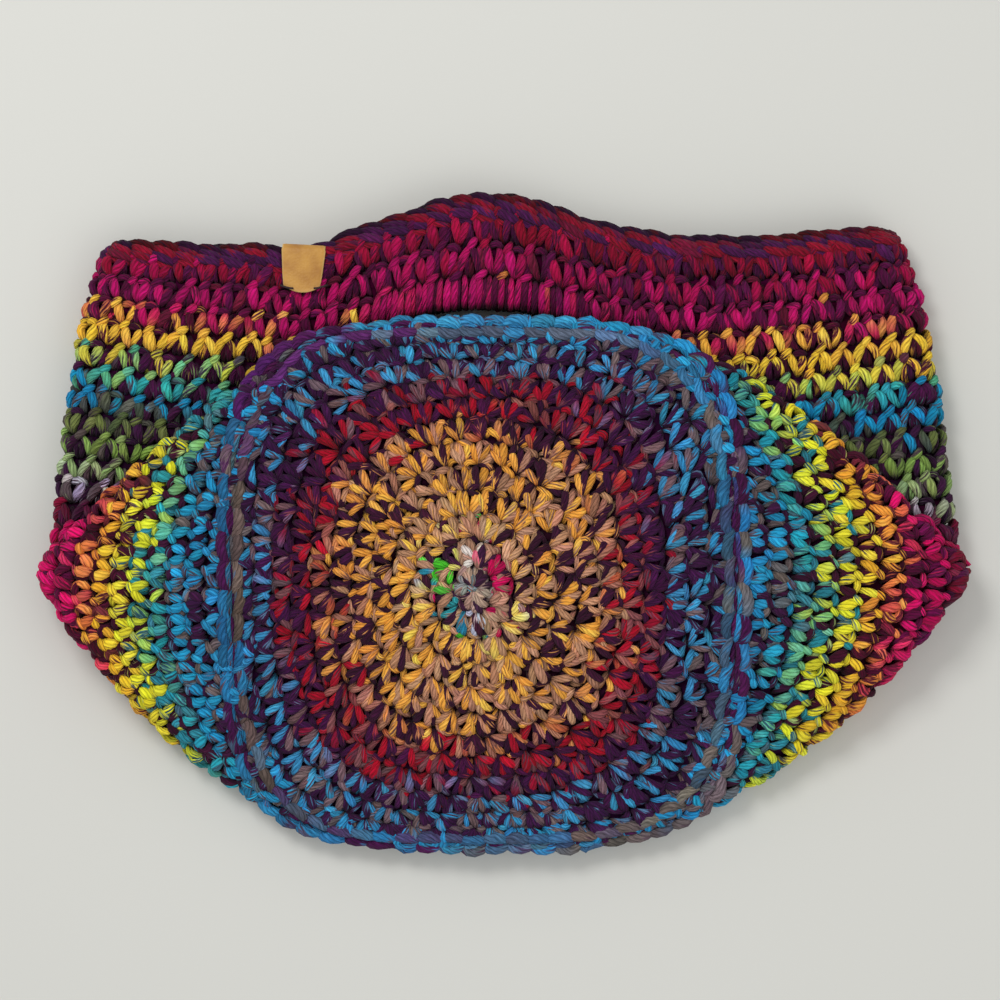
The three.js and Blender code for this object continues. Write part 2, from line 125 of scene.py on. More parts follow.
# Top and underside of the turned-up part
def baseLevel(y):
    fall = smoothStep(-y, 0, bag["slopeLength"])
    return bag["stackHeight"] - (bag["stackHeight"] - bag["bottomHeight"]) * fall


def turnedUnder(y):
    return lerp(bag["turnedLow"], bag["turnedBottom"], smoothStep(y, -bag["turnedStep"], bag["turnedStep"]))


# The surfaces that stitches are laid on. u runs to the right and v towards the mouth, seen from outside.
# The wall: front, side folds and back are one tube, with v = 0 at the rim.
def tubeShell(u, v):
    at = -v
    front, back = bag["frontTop"] - bag["seat"], bag["tableSeat"]
    half, roll = (front - back) / 2, bag["sideRoll"] - bag["sideSeat"]
    turn = math.pi * (half + roll) / 2
    down = at / bag["frontRounds"]
    share = u / bag["stitches"]
    reach = halfWidth(bag["rimLevel"] * (1 - np.clip(down, 0, 1))) - bag["seat"] - roll
    far = np.abs(share) * 2 * (2 * reach + turn)
    along = np.clip(np.where(far > reach + turn / 2, 2 * reach + turn - far, far) / reach, 0, 1)
    x = np.sign(share) * along * reach
    sag = bag["smile"] * 4 * down * (1 - down) * (1 - along ** 2)
    upper = rimLine(x) * (1 - down) - np.where(down > 0, sag, 0)
    y = np.where(down > 1, bag["bottomFold"] * (at - bag["frontRounds"]) / bag["lowerRounds"], upper)
    flat = halfWidth(np.maximum(y, 0)) - bag["seat"] - roll
    far = np.abs(share) * 2 * (2 * flat + turn)
    angle = math.pi / 2 - np.clip((far - flat) / turn, 0, 1) * math.pi
    past = np.maximum(far - flat - turn, 0)
    x = np.sign(share) * (np.minimum(far, flat) + roll * np.cos(angle) - past)
    z = (front + back) / 2 + half * np.sin(angle)
    return np.stack([x, y, z], -1)


# The wall under the base, with v = 0 at the line between the tips
lowerBack = {
    "rounds": 12, "spacing": 1.1, "underside": 1.4, "leastLift": 2.0,
    "overEdge": 7.0, "foldGap": 5.0, "lastX": 205.0,  # where its stitches stop at the side and bottom folds
    "dye": 22.0, "dyeStep": 0.78,
}


def lowerBackShell(u, v):
    y = np.maximum(v * bag["roundHeight"], bag["bottomFold"] + 0.5)
    roll = bag["edgeRoll"]
    lift = np.maximum((lowerBack["underside"] + baseLevel(y)) / 2 - bag["tableSeat"], lowerBack["leastLift"])
    edge = np.maximum(lowerReach(y) - bag["seat"], roll + 0.1)
    far = np.abs(u) * bag["stitchWidth"] * lowerBack["spacing"]
    turn = (roll + lift) / 2
    angle = np.clip((far - (edge - roll)) / turn, 0, math.pi / 2)
    x = -np.sign(u) * (np.minimum(far, edge - roll) + roll * np.sin(angle))
    z = bag["tableSeat"] + lift * (1 - np.cos(angle))
    return np.stack([x, y, z], -1)


def foldedLevel(x, y):
    toEdge = np.minimum(upperEdge(x) - y, y - lowerEdge(x))
    top = baseLevel(y) - bag["seat"]
    under = turnedUnder(y) + bag["seat"]
    inwards = np.clip(1 - toEdge / bag["edgeRoll"], 0, 0.98)
    return lerp((under + top) / 2, top, np.sqrt(1 - inwards ** 2))


base = {
    "rounds": 12, "reach": 112.0, "centreShift": (-5.5, -1.2), "startAngle": -1.05,
    "stretch": 0.22, "stretchPower": 2.5,  # the inner rounds are stretched towards the mouth
    "leftPull": 1.0,  # how far the colours of the outer rounds are late on the left, in rounds
    "dull": (0.3, 0.5), "stray": 0.14, "lean": 0.25, "leanSpread": 0.3, "loose": 1.2, "size": 0.98,
    # each with its start and its change in one round
    "firstDye": (0.3, 1.0), "secondDye": (1.97, 0.97), "laterDye": (0.65, 0.3),
}


def basePoint(share, angle):
    power = lerp(2, bag["baseSquareness"], share ** 2)
    spread = np.abs(np.cos(angle)) ** power + np.abs(np.sin(angle)) ** power
    radius = share * bag["baseRadius"] / spread ** (1 / power)
    inner = 1 - np.clip(share, 0, 1) ** 2
    x = bag["baseX"] + radius * np.cos(angle) + base["centreShift"][0] * inner
    along = radius * np.sin(angle)
    out = np.minimum(np.abs(along) / bag["baseRadius"], 1)
    along *= 1 + base["stretch"] * (1 - out ** base["stretchPower"])
    y = bag["baseY"] + along + base["centreShift"][1] * inner
    return np.stack([x, y, foldedLevel(x, y)], -1)


# Gussets: the rounds on both sides of the base. -1 is the left one.
gusset = {
    "rounds": 10, "firstDye": {-1: 12.5, 1: 13.4}, "dyeWave": (0.25, 0.5), "leanSpread": 0.14,
    "dull": (0.22, 0.08),  # at the base and at the tip
    "cornerShare": 0.6,  # where on the base's side the first rounds bend away from it
    "tipGap": 1.2, "footGap": 0.6,  # how far before the tip the last round and its ends stop
    "leastHalf": 1.5, "rollShare": 0.48,  # near the tip the rounds get short, and their rolled edges small
    "mostTurn": 2.6, "lowerTurn": 2.3,  # how far rounds turn under the fold, in radians
    "upperOver": 14.0, "lowerUnder": 5.0, "spacing": 1.03,
}


# Where a gusset round that starts at a station on the middle line ends on the folds
def gussetFoot(side, station):
    tip, edge = side * bag["tipReach"], bag["baseX"] + side * bag["baseRadius"]
    corner = bag["baseX"] + side * bag["baseRadius"] * gusset["cornerShare"]
    return lerp(corner, tip, (station - edge) / (tip - edge))


def gussetStation(side, at):
    edge = bag["baseX"] + side * bag["baseRadius"]
    return edge + side * at * (bag["tipReach"] - abs(edge)) / gusset["rounds"]


def gussetShell(side):

    def shell(u, v):
        limit = bag["tipReach"] - gusset["tipGap"]
        station = np.clip(gussetStation(side, np.maximum(v, -0.6)), -limit, limit)
        lastFoot = bag["tipReach"] - gusset["footGap"]
        foot = np.clip(gussetFoot(side, station), -lastFoot, lastFoot)
        low, high = lowerEdge(foot), upperEdge(foot)
        half = np.maximum((high - low) / 2, gusset["leastHalf"]) - bag["seat"] * 0.5
        roll = np.minimum(bag["edgeRoll"], half * gusset["rollShare"])
        centre = (low + high) / 2
        along = -side * u * bag["stitchWidth"]
        flat, edgeSide = half - roll, np.sign(along)
        edgeY = centre + edgeSide * half
        top = baseLevel(edgeY) - bag["seat"]
        under = turnedUnder(edgeY) + bag["tableSeat"] - bag["turnedLow"]
        rise = np.maximum((top - under) / 2, 1)
        angle = np.clip((np.abs(along) - flat) / ((roll + rise) / 2), 0, gusset["mostTurn"])
        y = centre + edgeSide * (np.minimum(np.abs(along), flat) + roll * np.sin(angle))
        topHere = baseLevel(y) - bag["seat"]
        slope = (topHere - top) * np.cos(np.minimum(angle, math.pi / 2))
        z = np.where(angle > 0, (top + under) / 2 + rise * np.cos(angle) + slope, topHere)
        share = np.clip(np.abs(y - centre) / np.maximum(half, 1e-3), 0, 1)
        x = station - (station - foot) * share ** 2
        toTip = np.clip((bag["tipReach"] - np.abs(x)) / bag["tipRoll"], 0, 1)
        z = lerp(bag["tipLevel"], z, np.sqrt(1 - (1 - toTip) ** 2))
        return np.stack([x, y, z], -1)

    return shell


foldRound = {"stitches": 15, "startTurn": 0.42 * math.pi, "firstDye": 12.7}


# The wall's first rounds, with v = 0 where they leave the base. side is 1 at the top fold.
def foldShell(side):

    def shell(u, v):
        x = bag["baseX"] + side * u * bag["stitchWidth"]
        edge = upperEdge(x) if side > 0 else lowerEdge(x)
        roll = bag["edgeRoll"] - bag["foldSeat"]
        top = baseLevel(edge) - bag["seat"]
        under = bag["turnedBottom"] + bag["seat"] if side > 0 else bag["tableSeat"]
        rise = (top - under) / 2
        angle = foldRound["startTurn"] - v * bag["roundHeight"] / ((roll + rise) / 2)
        y = edge - side * (bag["seat"] + roll * (1 - np.cos(angle)))
        z = (top + under) / 2 + rise * np.sin(angle)
        return np.stack([x, y, z], -1)

    return shell


# Colours of the two yarns that are held together, by round counted from the middle of the base.
# Rounds 40 to 50 are the chain round the base, by tenths of its way round from the right.
yarnDye = {
    "bright": [
        (0.3, 196, 160, 140), (0.8, 60, 132, 150), (1.2, 190, 150, 130), (1.5, 60, 140, 150),
        (1.95, 190, 8, 84), (2.3, 200, 12, 80), (2.38, 226, 214, 214), (2.48, 234, 226, 96),
        (2.55, 72, 196, 40), (2.68, 96, 196, 70), (2.72, 40, 140, 165), (2.84, 44, 136, 170),
        (2.89, 214, 204, 228), (2.97, 246, 222, 120), (3.3, 252, 180, 74), (5.0, 250, 170, 66),
        (6.9, 248, 166, 68), (7.3, 214, 130, 80), (7.6, 172, 14, 40), (9.1, 156, 8, 34), (9.6, 134, 18, 52),
        (10.0, 62, 138, 188), (11.0, 56, 142, 192), (12.0, 48, 140, 194), (14.0, 38, 144, 196),
        (15.2, 32, 148, 192), (15.9, 40, 160, 172), (16.5, 130, 196, 110), (16.9, 222, 228, 56),
        (17.5, 232, 228, 40), (18.2, 242, 222, 60), (18.7, 252, 192, 44), (19.9, 250, 144, 68),
        (20.4, 236, 74, 90), (21.0, 208, 14, 96), (22.3, 194, 6, 86), (22.7, 130, 8, 42),
        (23.4, 92, 12, 46), (23.9, 62, 22, 56), (24.05, 96, 66, 96), (24.2, 188, 166, 200),
        (24.6, 186, 182, 184), (24.9, 158, 174, 128), (25.6, 134, 162, 92), (26.4, 122, 154, 70),
        (26.8, 104, 112, 60), (27.4, 106, 118, 64), (27.8, 66, 76, 66), (28.0, 60, 86, 92),
        (28.3, 24, 134, 184), (29.1, 22, 140, 190), (29.5, 50, 160, 160), (29.9, 100, 184, 130),
        (30.4, 196, 204, 76), (30.9, 250, 200, 56), (32.2, 250, 178, 70), (32.5, 200, 34, 84),
        (32.8, 180, 14, 94), (33.8, 176, 12, 92), (34.4, 160, 9, 66), (35.0, 142, 8, 44),
        (35.6, 128, 10, 38), (36.6, 132, 14, 40), (38.0, 132, 14, 40), (40.0, 36, 130, 190),
        (40.2, 40, 128, 184), (40.28, 110, 98, 92), (40.4, 100, 84, 96), (40.5, 84, 40, 96),
        (40.65, 60, 60, 120), (40.75, 36, 130, 190), (41.7, 40, 150, 205), (42.2, 60, 140, 190),
        (43.3, 52, 140, 190), (43.4, 84, 30, 96), (43.9, 84, 30, 96), (44.1, 108, 94, 88),
        (44.6, 48, 96, 124), (45.0, 36, 104, 148), (46.0, 38, 112, 160), (47.5, 50, 130, 180),
        (48.4, 112, 100, 92), (49.2, 104, 92, 100), (49.5, 50, 120, 170), (50.0, 36, 130, 190)],
    "deep": [
        (0.3, 58, 30, 52), (2.4, 60, 22, 54), (3.0, 60, 22, 42), (7.2, 58, 18, 46), (8.0, 66, 14, 56),
        (9.6, 60, 16, 62), (12.0, 56, 20, 62), (15.0, 56, 20, 56), (16.0, 56, 16, 42), (20.0, 70, 8, 34),
        (22.0, 100, 8, 66), (24.0, 52, 20, 50), (28.0, 56, 18, 56), (30.0, 66, 14, 58), (32.0, 70, 8, 36),
        (33.0, 90, 6, 58), (35.0, 80, 12, 60), (36.0, 70, 20, 68), (38.0, 70, 20, 68)],
    "tweed": [
        (0.3, 176, 142, 128), (3.0, 196, 146, 112), (7.0, 188, 132, 104), (8.0, 140, 66, 70),
        (9.5, 116, 84, 92), (12.0, 104, 90, 94), (15.0, 104, 92, 92), (16.0, 50, 130, 150),
        (17.8, 40, 140, 150), (18.4, 110, 50, 50), (22.0, 150, 18, 66), (24.0, 90, 68, 80),
        (28.0, 92, 92, 80), (30.0, 60, 80, 92), (31.0, 96, 22, 48), (36.0, 106, 18, 48),
        (38.0, 106, 18, 48), (40.0, 60, 100, 130), (40.3, 110, 98, 92), (40.6, 60, 70, 110),
        (41.0, 40, 120, 170), (42.0, 90, 100, 120), (43.2, 80, 100, 124), (43.4, 92, 40, 104),
        (43.9, 92, 40, 104), (44.4, 92, 78, 72), (46.0, 100, 86, 80), (46.5, 60, 100, 130),
        (47.0, 84, 40, 92), (47.6, 56, 110, 150), (48.1, 84, 70, 96), (48.6, 116, 102, 92),
        (50.0, 60, 100, 130)],
    "tweedShare": [
        (0, 0.5), (3, 0.62), (7, 0.55), (8, 0.2), (10, 0.26), (12, 0.3), (13, 0.4), (16, 0.5), (17.8, 0.4),
        (18.6, 0.12), (23, 0.1), (25, 0.3), (28, 0.4), (30, 0.12), (36, 0.1)],
    "wander": 0.17,  # how far the change of colour strays from stitch to stitch, in rounds
    "strandWander": 0.28,  # the same from strand to strand
    "mixBright": 0.42, "mixDeep": 0.3,  # share of a strand's plies that show the other yarn
}


def toLinear(rgb):
    c = np.asarray(rgb, float) / 255
    return np.where(c <= 0.04045, c / 12.92, ((c + 0.055) / 1.055) ** 2.4)


def dyeAt(name, at):
    table = np.array(yarnDye[name], float)
    linear = toLinear(table[:, 1:])
    return np.stack([np.interp(at, table[:, 0], linear[:, k]) for k in range(3)], -1)


def slowNoise(count, step):
    knots = chance.uniform(-1, 1, int(count / step) + 3)
    return np.interp(np.arange(count) / step, np.arange(len(knots)), knots)


# Each strand of a stitch has its yarn and its path: across, along and above the fabric, and its thickness.
# Across is in stitch widths, along in round heights, the rest in millimetres. The yarn "below" is the
# bright one, coloured as the round below.
stitchShape = {
    "heart": [
        ("bright", [(0.03, -0.56, -1.8, 1.0), (-0.06, -0.34, 0.8, 1.8), (-0.17, -0.06, 2.1, 2.4),
                    (-0.23, 0.16, 1.5, 2.1), (-0.22, 0.36, -0.8, 1.1)]),
        ("bright", [(0.07, -0.54, -1.8, 1.0), (0.15, -0.32, 0.8, 1.8), (0.25, -0.06, 1.9, 2.3),
                    (0.29, 0.14, 1.3, 2.0), (0.25, 0.34, -1.0, 1.1)]),
        ("deep", [(-0.24, -0.56, -2.2, 0.9), (-0.38, -0.32, 0.0, 1.6), (-0.5, -0.06, 0.8, 2.0),
                  (-0.53, 0.16, 0.4, 1.8), (-0.5, 0.36, -1.4, 1.0)]),
        ("deep", [(-0.16, 0.26, -2.0, 1.0), (-0.02, 0.34, 0.1, 1.6), (0.16, 0.39, 0.7, 1.8),
                  (0.34, 0.34, 0.2, 1.6), (0.48, 0.22, -1.8, 0.9)]),
        ("bright", [(-0.6, 0.1, -1.6, 0.9), (-0.49, 0.24, 0.8, 1.6), (-0.37, 0.38, 1.6, 1.9),
                    (-0.26, 0.5, 1.0, 1.6), (-0.18, 0.6, -1.4, 0.9)]),
        ("deep", [(0.3, -0.6, -2.2, 0.9), (0.37, -0.42, -0.2, 1.5), (0.46, -0.22, 0.3, 1.7),
                  (0.54, 0.0, 0.0, 1.5), (0.6, 0.2, -1.8, 0.9)]),
    ],
    "peak": [
        ("bright", [(-0.46, -0.52, -1.6, 1.0), (-0.4, -0.28, 1.0, 1.8), (-0.28, 0.0, 1.9, 2.2),
                    (-0.12, 0.22, 1.5, 1.9), (0.02, 0.4, -0.6, 1.1)]),
        ("bright", [(0.4, -0.52, -1.6, 1.0), (0.38, -0.28, 1.0, 1.8), (0.28, 0.0, 1.8, 2.1),
                    (0.14, 0.2, 1.3, 1.8), (0.02, 0.36, -0.8, 1.1)]),
        ("deep", [(-0.06, -0.6, -2.0, 1.0), (-0.12, -0.36, 0.0, 1.6), (-0.12, -0.1, 0.5, 1.8),
                  (-0.04, 0.1, 0.3, 1.6), (0.04, 0.28, -1.6, 1.0)]),
        ("deep", [(0.12, -0.6, -2.0, 1.0), (0.13, -0.38, -0.1, 1.6), (0.1, -0.12, 0.4, 1.7),
                  (0.04, 0.08, 0.2, 1.5), (-0.02, 0.26, -1.8, 1.0)]),
        ("bright", [(-0.18, 0.16, -1.0, 0.9), (-0.09, 0.29, 1.6, 1.6), (0.02, 0.41, 2.3, 1.9),
                    (0.13, 0.52, 1.5, 1.6), (0.22, 0.62, -1.2, 0.9)]),
        ("deep", [(0.34, 0.26, -2.2, 1.0), (0.44, 0.12, 0.0, 1.5), (0.52, -0.06, 0.6, 1.8),
                  (0.56, -0.26, 0.2, 1.6), (0.56, -0.46, -1.8, 1.0)]),
    ],
    "fan": [
        ("bright", [(-0.02, -0.58, -1.8, 0.9), (-0.16, -0.38, 0.7, 1.5), (-0.34, -0.14, 1.7, 1.9),
                    (-0.48, 0.06, 1.3, 1.7), (-0.58, 0.26, -1.0, 1.0)]),
        ("deep", [(0.0, -0.6, -1.8, 0.9), (-0.06, -0.38, 0.6, 1.5), (-0.14, -0.06, 1.6, 1.9),
                  (-0.2, 0.2, 1.3, 1.8), (-0.24, 0.44, -1.0, 1.0)]),
        ("bright", [(0.03, -0.6, -1.8, 0.9), (0.06, -0.36, 0.6, 1.5), (0.11, -0.04, 1.7, 2.0),
                    (0.14, 0.22, 1.4, 1.8), (0.15, 0.46, -1.0, 1.0)]),
        ("deep", [(0.06, -0.58, -1.8, 0.9), (0.2, -0.38, 0.5, 1.4), (0.37, -0.14, 1.3, 1.8),
                  (0.49, 0.08, 1.1, 1.7), (0.57, 0.3, -1.0, 1.0)]),
        ("below", [(0.22, -0.66, -1.6, 0.9), (0.34, -0.54, 0.5, 1.4), (0.48, -0.46, 1.0, 1.6),
                   (0.62, -0.46, 0.6, 1.5), (0.76, -0.56, -1.4, 0.9)]),
        ("deep", [(-0.2, 0.44, -2.2, 0.9), (0.0, 0.42, 0.0, 1.4), (0.26, 0.36, 0.6, 1.6),
                  (0.46, 0.3, 0.2, 1.4), (0.62, 0.14, -1.8, 0.9)]),
        ("deep", [(0.52, -0.44, -2.2, 0.9), (0.58, -0.24, -0.6, 1.4), (0.62, -0.02, 0.0, 1.5),
                  (0.64, 0.18, -0.2, 1.4), (0.64, 0.38, -1.8, 0.9)]),
    ],
    "strap": [
        ("bright", [(-0.38, -0.62, -4.5, 1.2), (-0.39, -0.5, 0.2, 1.7), (-0.38, -0.1, 1.8, 1.9),
                    (-0.35, 0.22, 1.2, 1.6), (-0.3, 0.44, -1.0, 1.0)]),
        ("deep", [(0.1, -0.62, -4.5, 1.1), (0.1, -0.48, -0.6, 1.4), (0.11, -0.1, 0.7, 1.5),
                  (0.12, 0.2, 0.6, 1.4), (0.12, 0.44, -1.4, 1.0)]),
        ("bright", [(-0.12, -0.62, -4.5, 1.2), (-0.12, -0.5, 0.1, 1.6), (-0.12, -0.1, 1.6, 1.8),
                    (-0.09, 0.22, 1.2, 1.6), (-0.05, 0.44, -1.0, 1.0)]),
        ("bright", [(0.34, -0.62, -4.5, 1.2), (0.34, -0.5, 0.0, 1.6), (0.36, -0.08, 1.4, 1.7),
                    (0.36, 0.22, 1.0, 1.5), (0.34, 0.44, -1.2, 1.0)]),
        ("bright", [(-0.34, 0.26, -1.4, 0.9), (-0.22, 0.36, 0.9, 1.5), (-0.06, 0.46, 1.6, 1.8),
                    (0.08, 0.55, 0.9, 1.5), (0.16, 0.64, -1.4, 0.9)]),
    ],
    "rim": [
        ("deep", [(-0.84, 0.34, -4.4, 1.2), (-0.48, 0.42, -2.2, 2.2), (0.0, 0.36, -1.0, 2.7),
                  (0.48, 0.2, -1.0, 2.4), (0.84, -0.02, -2.8, 1.2)]),
        ("bright", [(-0.82, 0.2, -3.0, 1.2), (-0.46, 0.22, -0.4, 2.0), (0.0, 0.12, 0.9, 2.4),
                    (0.46, -0.03, 0.8, 2.2), (0.82, -0.2, -1.6, 1.2)]),
        ("deep", [(-0.78, 0.0, -1.6, 1.1), (-0.42, -0.04, 1.0, 1.9), (0.04, -0.14, 2.2, 2.3),
                  (0.48, -0.26, 1.8, 2.1), (0.82, -0.36, -0.8, 1.1)]),
        ("bright", [(-0.72, -0.3, -1.8, 0.9), (-0.36, -0.34, 0.9, 1.4), (0.06, -0.4, 1.5, 1.6),
                    (0.46, -0.46, 1.1, 1.5), (0.74, -0.54, -1.4, 0.9)]),
        ("deep", [(-0.72, 0.24, -9.0, 1.2), (-0.38, 0.28, -6.8, 2.0), (0.0, 0.22, -5.6, 2.3),
                  (0.42, 0.1, -6.0, 2.0), (0.76, -0.04, -8.2, 1.2)]),
    ],
    "chain": [
        ("bright", [(-0.34, 0.08, -0.8, 1.2), (0.04, 0.32, 1.7, 2.1), (0.46, 0.46, 2.6, 2.4),
                    (0.88, 0.38, 1.9, 2.1), (1.14, 0.14, -0.8, 1.1)]),
        ("tweed", [(-0.34, -0.08, -0.8, 1.2), (0.04, -0.32, 1.7, 2.1), (0.46, -0.46, 2.6, 2.4),
                   (0.88, -0.38, 1.9, 2.1), (1.14, -0.14, -0.8, 1.1)]),
        ("bright", [(-0.2, 0.02, -0.6, 1.0), (0.14, 0.12, 1.4, 1.5), (0.48, 0.17, 2.0, 1.7),
                    (0.82, 0.12, 1.4, 1.5), (1.08, 0.02, -0.8, 1.0)]),
        ("deep", [(-0.2, -0.02, -0.8, 1.0), (0.14, -0.1, 0.7, 1.4), (0.48, -0.13, 1.2, 1.6),
                  (0.82, -0.1, 0.7, 1.4), (1.08, -0.02, -1.0, 1.0)]),
    ],
}


def smoothPath(points, rings):
    p = np.array(points, float)
    p = np.vstack([2 * p[0] - p[1], p, 2 * p[-1] - p[-2]])
    out = []
    for s in np.linspace(0, len(points) - 1, rings):
        i = min(int(s), len(points) - 2)
        t = s - i
        a, b, c, d = p[i:i + 4]
        square, cube = 2 * a - 5 * b + 4 * c - d, 3 * b - a - 3 * c + d
        out.append(0.5 * (2 * b + (c - a) * t + square * t * t + cube * t ** 3))
    return np.array(out)


# Adds a node with its settings. Its inputs are given values, or the outputs that they are linked to.
def addNode(tree, kind, inputs=None, **settings):
    node = tree.nodes.new("ShaderNode" + kind)
    for key, value in settings.items():
        setattr(node, key, value)
    for key, value in (inputs or {}).items():
        if isinstance(value, bpy.types.NodeSocket):
            tree.links.new(value, node.inputs[key])
        else:
            node.inputs[key].default_value = value
    return node


def calc(tree, operation, *values):
    return addNode(tree, "Math", dict(enumerate(values)), operation=operation).outputs[0]


def remap(tree, value, toMin, toMax, fromMin=0.0, fromMax=1.0):
    inputs = {"Value": value, "From Min": fromMin, "From Max": fromMax, "To Min": toMin, "To Max": toMax}
    return addNode(tree, "MapRange", inputs).outputs[0]


def blend(tree, kind, factor, a, b):
    inputs = {"Factor": factor, "A": a, "B": b}
    return addNode(tree, "Mix", inputs, data_type="RGBA", blend_type=kind).outputs["Result"]


def vertexColour(tree, layer):
    return addNode(tree, "VertexColor", layer_name=layer).outputs


# Colours along a value, as pairs of a place on the ramp and a colour
def ramp(tree, value, stops):
    node = addNode(tree, "ValToRGB", {0: value})
    for element, (position, colour) in zip(node.color_ramp.elements, stops):
        element.position = position
        element.color = (*colour, 1)
    return node.outputs[0]


def objectPlace(tree):
    return addNode(tree, "TexCoord").outputs["Object"]


def newMaterial(name, roughness, specular=0.5):
    material = bpy.data.materials.new(name)
    material.use_nodes = True
    tree = material.node_tree
    shader = tree.nodes["Principled BSDF"]
    shader.inputs["Roughness"].default_value = roughness
    shader.inputs["Specular IOR Level"].default_value = specular
    return material, tree, shader


def addBump(tree, shader, height, relief, invert=False):
    bump = addNode(tree, "Bump", {"Distance": relief, "Height": height}, invert=invert)
    tree.links.new(bump.outputs[0], shader.inputs["Normal"])


# Streaks along a strand: their scale across the twist and along the strand, and their detail
plyStreaks = {"stray": (0.7, 0.35, 1), "fibre": (3.4, 0.3, 3), "patch": (1.1, 0.09, 1),
              "strayBy": 0.9, "ridgePower": 0.8, "furrowPower": 0.6}


# A strand's surface: twisted plies with fine fibres along them. UV is around and along the strand.
def plyTwistGroup():
    group = bpy.data.node_groups.new("plyTwist", "ShaderNodeTree")
    group.interface.new_socket(name="UV", in_out="INPUT", socket_type="NodeSocketVector")
    for side, names in (("INPUT", ("Plies", "Pitch")), ("OUTPUT", ("Height", "Furrow", "Fibre", "Patch"))):
        for name in names:
            group.interface.new_socket(name=name, in_out=side, socket_type="NodeSocketFloat")
    start, end = group.nodes.new("NodeGroupInput").outputs, group.nodes.new("NodeGroupOutput").inputs
    place = addNode(group, "SeparateXYZ", {0: start["UV"]}).outputs
    around = calc(group, "MULTIPLY", place["X"], start["Plies"])
    twist = calc(group, "ADD", around, calc(group, "DIVIDE", place["Y"], start["Pitch"]))

    def streak(name):
        across, lengthwise, detail = plyStreaks[name]
        stretch = addNode(group, "CombineXYZ", {"X": calc(group, "MULTIPLY", twist, across),
                                                "Y": calc(group, "MULTIPLY", place["Y"], lengthwise)})
        inputs = {"Vector": stretch.outputs[0], "Scale": 1, "Detail": detail}
        return addNode(group, "TexNoise", inputs).outputs[0]

    strayed = calc(group, "ADD", twist, calc(group, "MULTIPLY", streak("stray"), plyStreaks["strayBy"]))
    ridge = calc(group, "ABSOLUTE", calc(group, "SINE", calc(group, "MULTIPLY", strayed, math.pi)))
    furrow = calc(group, "SUBTRACT", 1.0, calc(group, "POWER", ridge, plyStreaks["furrowPower"]))
    for name, value in (("Height", calc(group, "POWER", ridge, plyStreaks["ridgePower"])), ("Furrow", furrow),
                        ("Fibre", streak("fibre")), ("Patch", streak("patch"))):
        group.links.new(value, end[name])
    return group


plyTwist = plyTwistGroup()


def plySurface(tree, plies, pitch):
    uv = addNode(tree, "UVMap", uv_map="strand").outputs[0]
    return addNode(tree, "Group", {"UV": uv, "Plies": plies, "Pitch": pitch}, node_tree=plyTwist).outputs


# Yarn: the strand's own dye, with patches of the other yarn, painted shade in the furrows between plies,
# painted highlight on the ply crests and painted highlight along fine fibre streaks
yarnFinish = {
    "roughness": 0.85, "specular": 0.12, "sheen": 0.04, "sheenRoughness": 0.5, "plies": 8.0, "pitch": 3.4,
    # crest and furrow set the painted highlight on the ply crests and the painted shade in the furrows
    "crest": 1.1, "furrow": 0.34, "relief": 0.0004, "fibreRelief": 0.9,
    "patchLevel": 0.75, "patchSpan": -0.5, "patchEdge": 0.05,  # patches grow with the partner's alpha
    # light and lightFibre set the painted highlight along the fibre streaks
    "light": 0.8, "lightFibre": (0.52, 0.72), "dusk": 0.62, "duskFibre": (0.3, 0.5),
}


def yarnMaterial():
    finish = yarnFinish
    material, tree, shader = newMaterial("stripedYarn", finish["roughness"], finish["specular"])
    shader.inputs["Sheen Weight"].default_value = finish["sheen"]
    shader.inputs["Sheen Roughness"].default_value = finish["sheenRoughness"]
    ply = plySurface(tree, finish["plies"], finish["pitch"])
    dye, partner = vertexColour(tree, "dye")["Color"], vertexColour(tree, "partner")
    level = calc(tree, "MULTIPLY_ADD", partner["Alpha"], finish["patchSpan"], finish["patchLevel"])
    over = calc(tree, "SUBTRACT", ply["Patch"], level)
    mixed = blend(tree, "MIX", remap(tree, over, 0, 1, 0, finish["patchEdge"]), dye, partner["Color"])
    # Painted highlight on the ply crests and painted shade in the furrows between them
    plyHighlightAndShade = remap(tree, ply["Furrow"], finish["crest"], 1 - finish["furrow"])
    # Painted highlight along fine fibre streaks, screened over the colour
    fibreHighlight = remap(tree, ply["Fibre"], 0, finish["light"], *finish["lightFibre"])
    fibreHighlighted = blend(tree, "SCREEN", fibreHighlight, blend(tree, "MULTIPLY", 1, mixed, plyHighlightAndShade), dye)
    dusk = remap(tree, ply["Fibre"], finish["dusk"], 1, *finish["duskFibre"])
    tree.links.new(blend(tree, "MULTIPLY", 1, fibreHighlighted, dusk), shader.inputs["Base Color"])
    height = calc(tree, "MULTIPLY_ADD", ply["Fibre"], finish["fibreRelief"], ply["Height"])
    addBump(tree, shader, height, finish["relief"])
    return material


coreFinish = {"crest": 0.75, "dip": 0.25, "roughness": 0.95, "specular": 0.05, "weave": 190.0,
              "relief": 0.0012}


def coreMaterial():
    material, tree, shader = newMaterial("innerFabric", coreFinish["roughness"], coreFinish["specular"])
    weave = addNode(tree, "TexVoronoi", {"Vector": objectPlace(tree), "Scale": coreFinish["weave"]})
    shade = remap(tree, weave.outputs["Distance"], coreFinish["crest"], coreFinish["dip"])
    dye = vertexColour(tree, "dye")["Color"]
    tree.links.new(blend(tree, "MULTIPLY", 1, dye, shade), shader.inputs["Base Color"])
    addBump(tree, shader, weave.outputs["Distance"], coreFinish["relief"], invert=True)
    return material


stripedYarn = yarnMaterial()
innerFabric = coreMaterial()
print("materials ready")


def addObject(name, data):
    thing = bpy.data.objects.new(name, data)
    bpy.context.scene.collection.objects.link(thing)
    return thing


def paint(mesh, layerName, colours):
    if colours.shape[1] == 3:
        colours = np.hstack([colours, np.ones((len(colours), 1))])
    layer = mesh.color_attributes.new(layerName, "FLOAT_COLOR", "POINT")
    layer.data.foreach_set("color", colours.astype(np.float32).ravel())


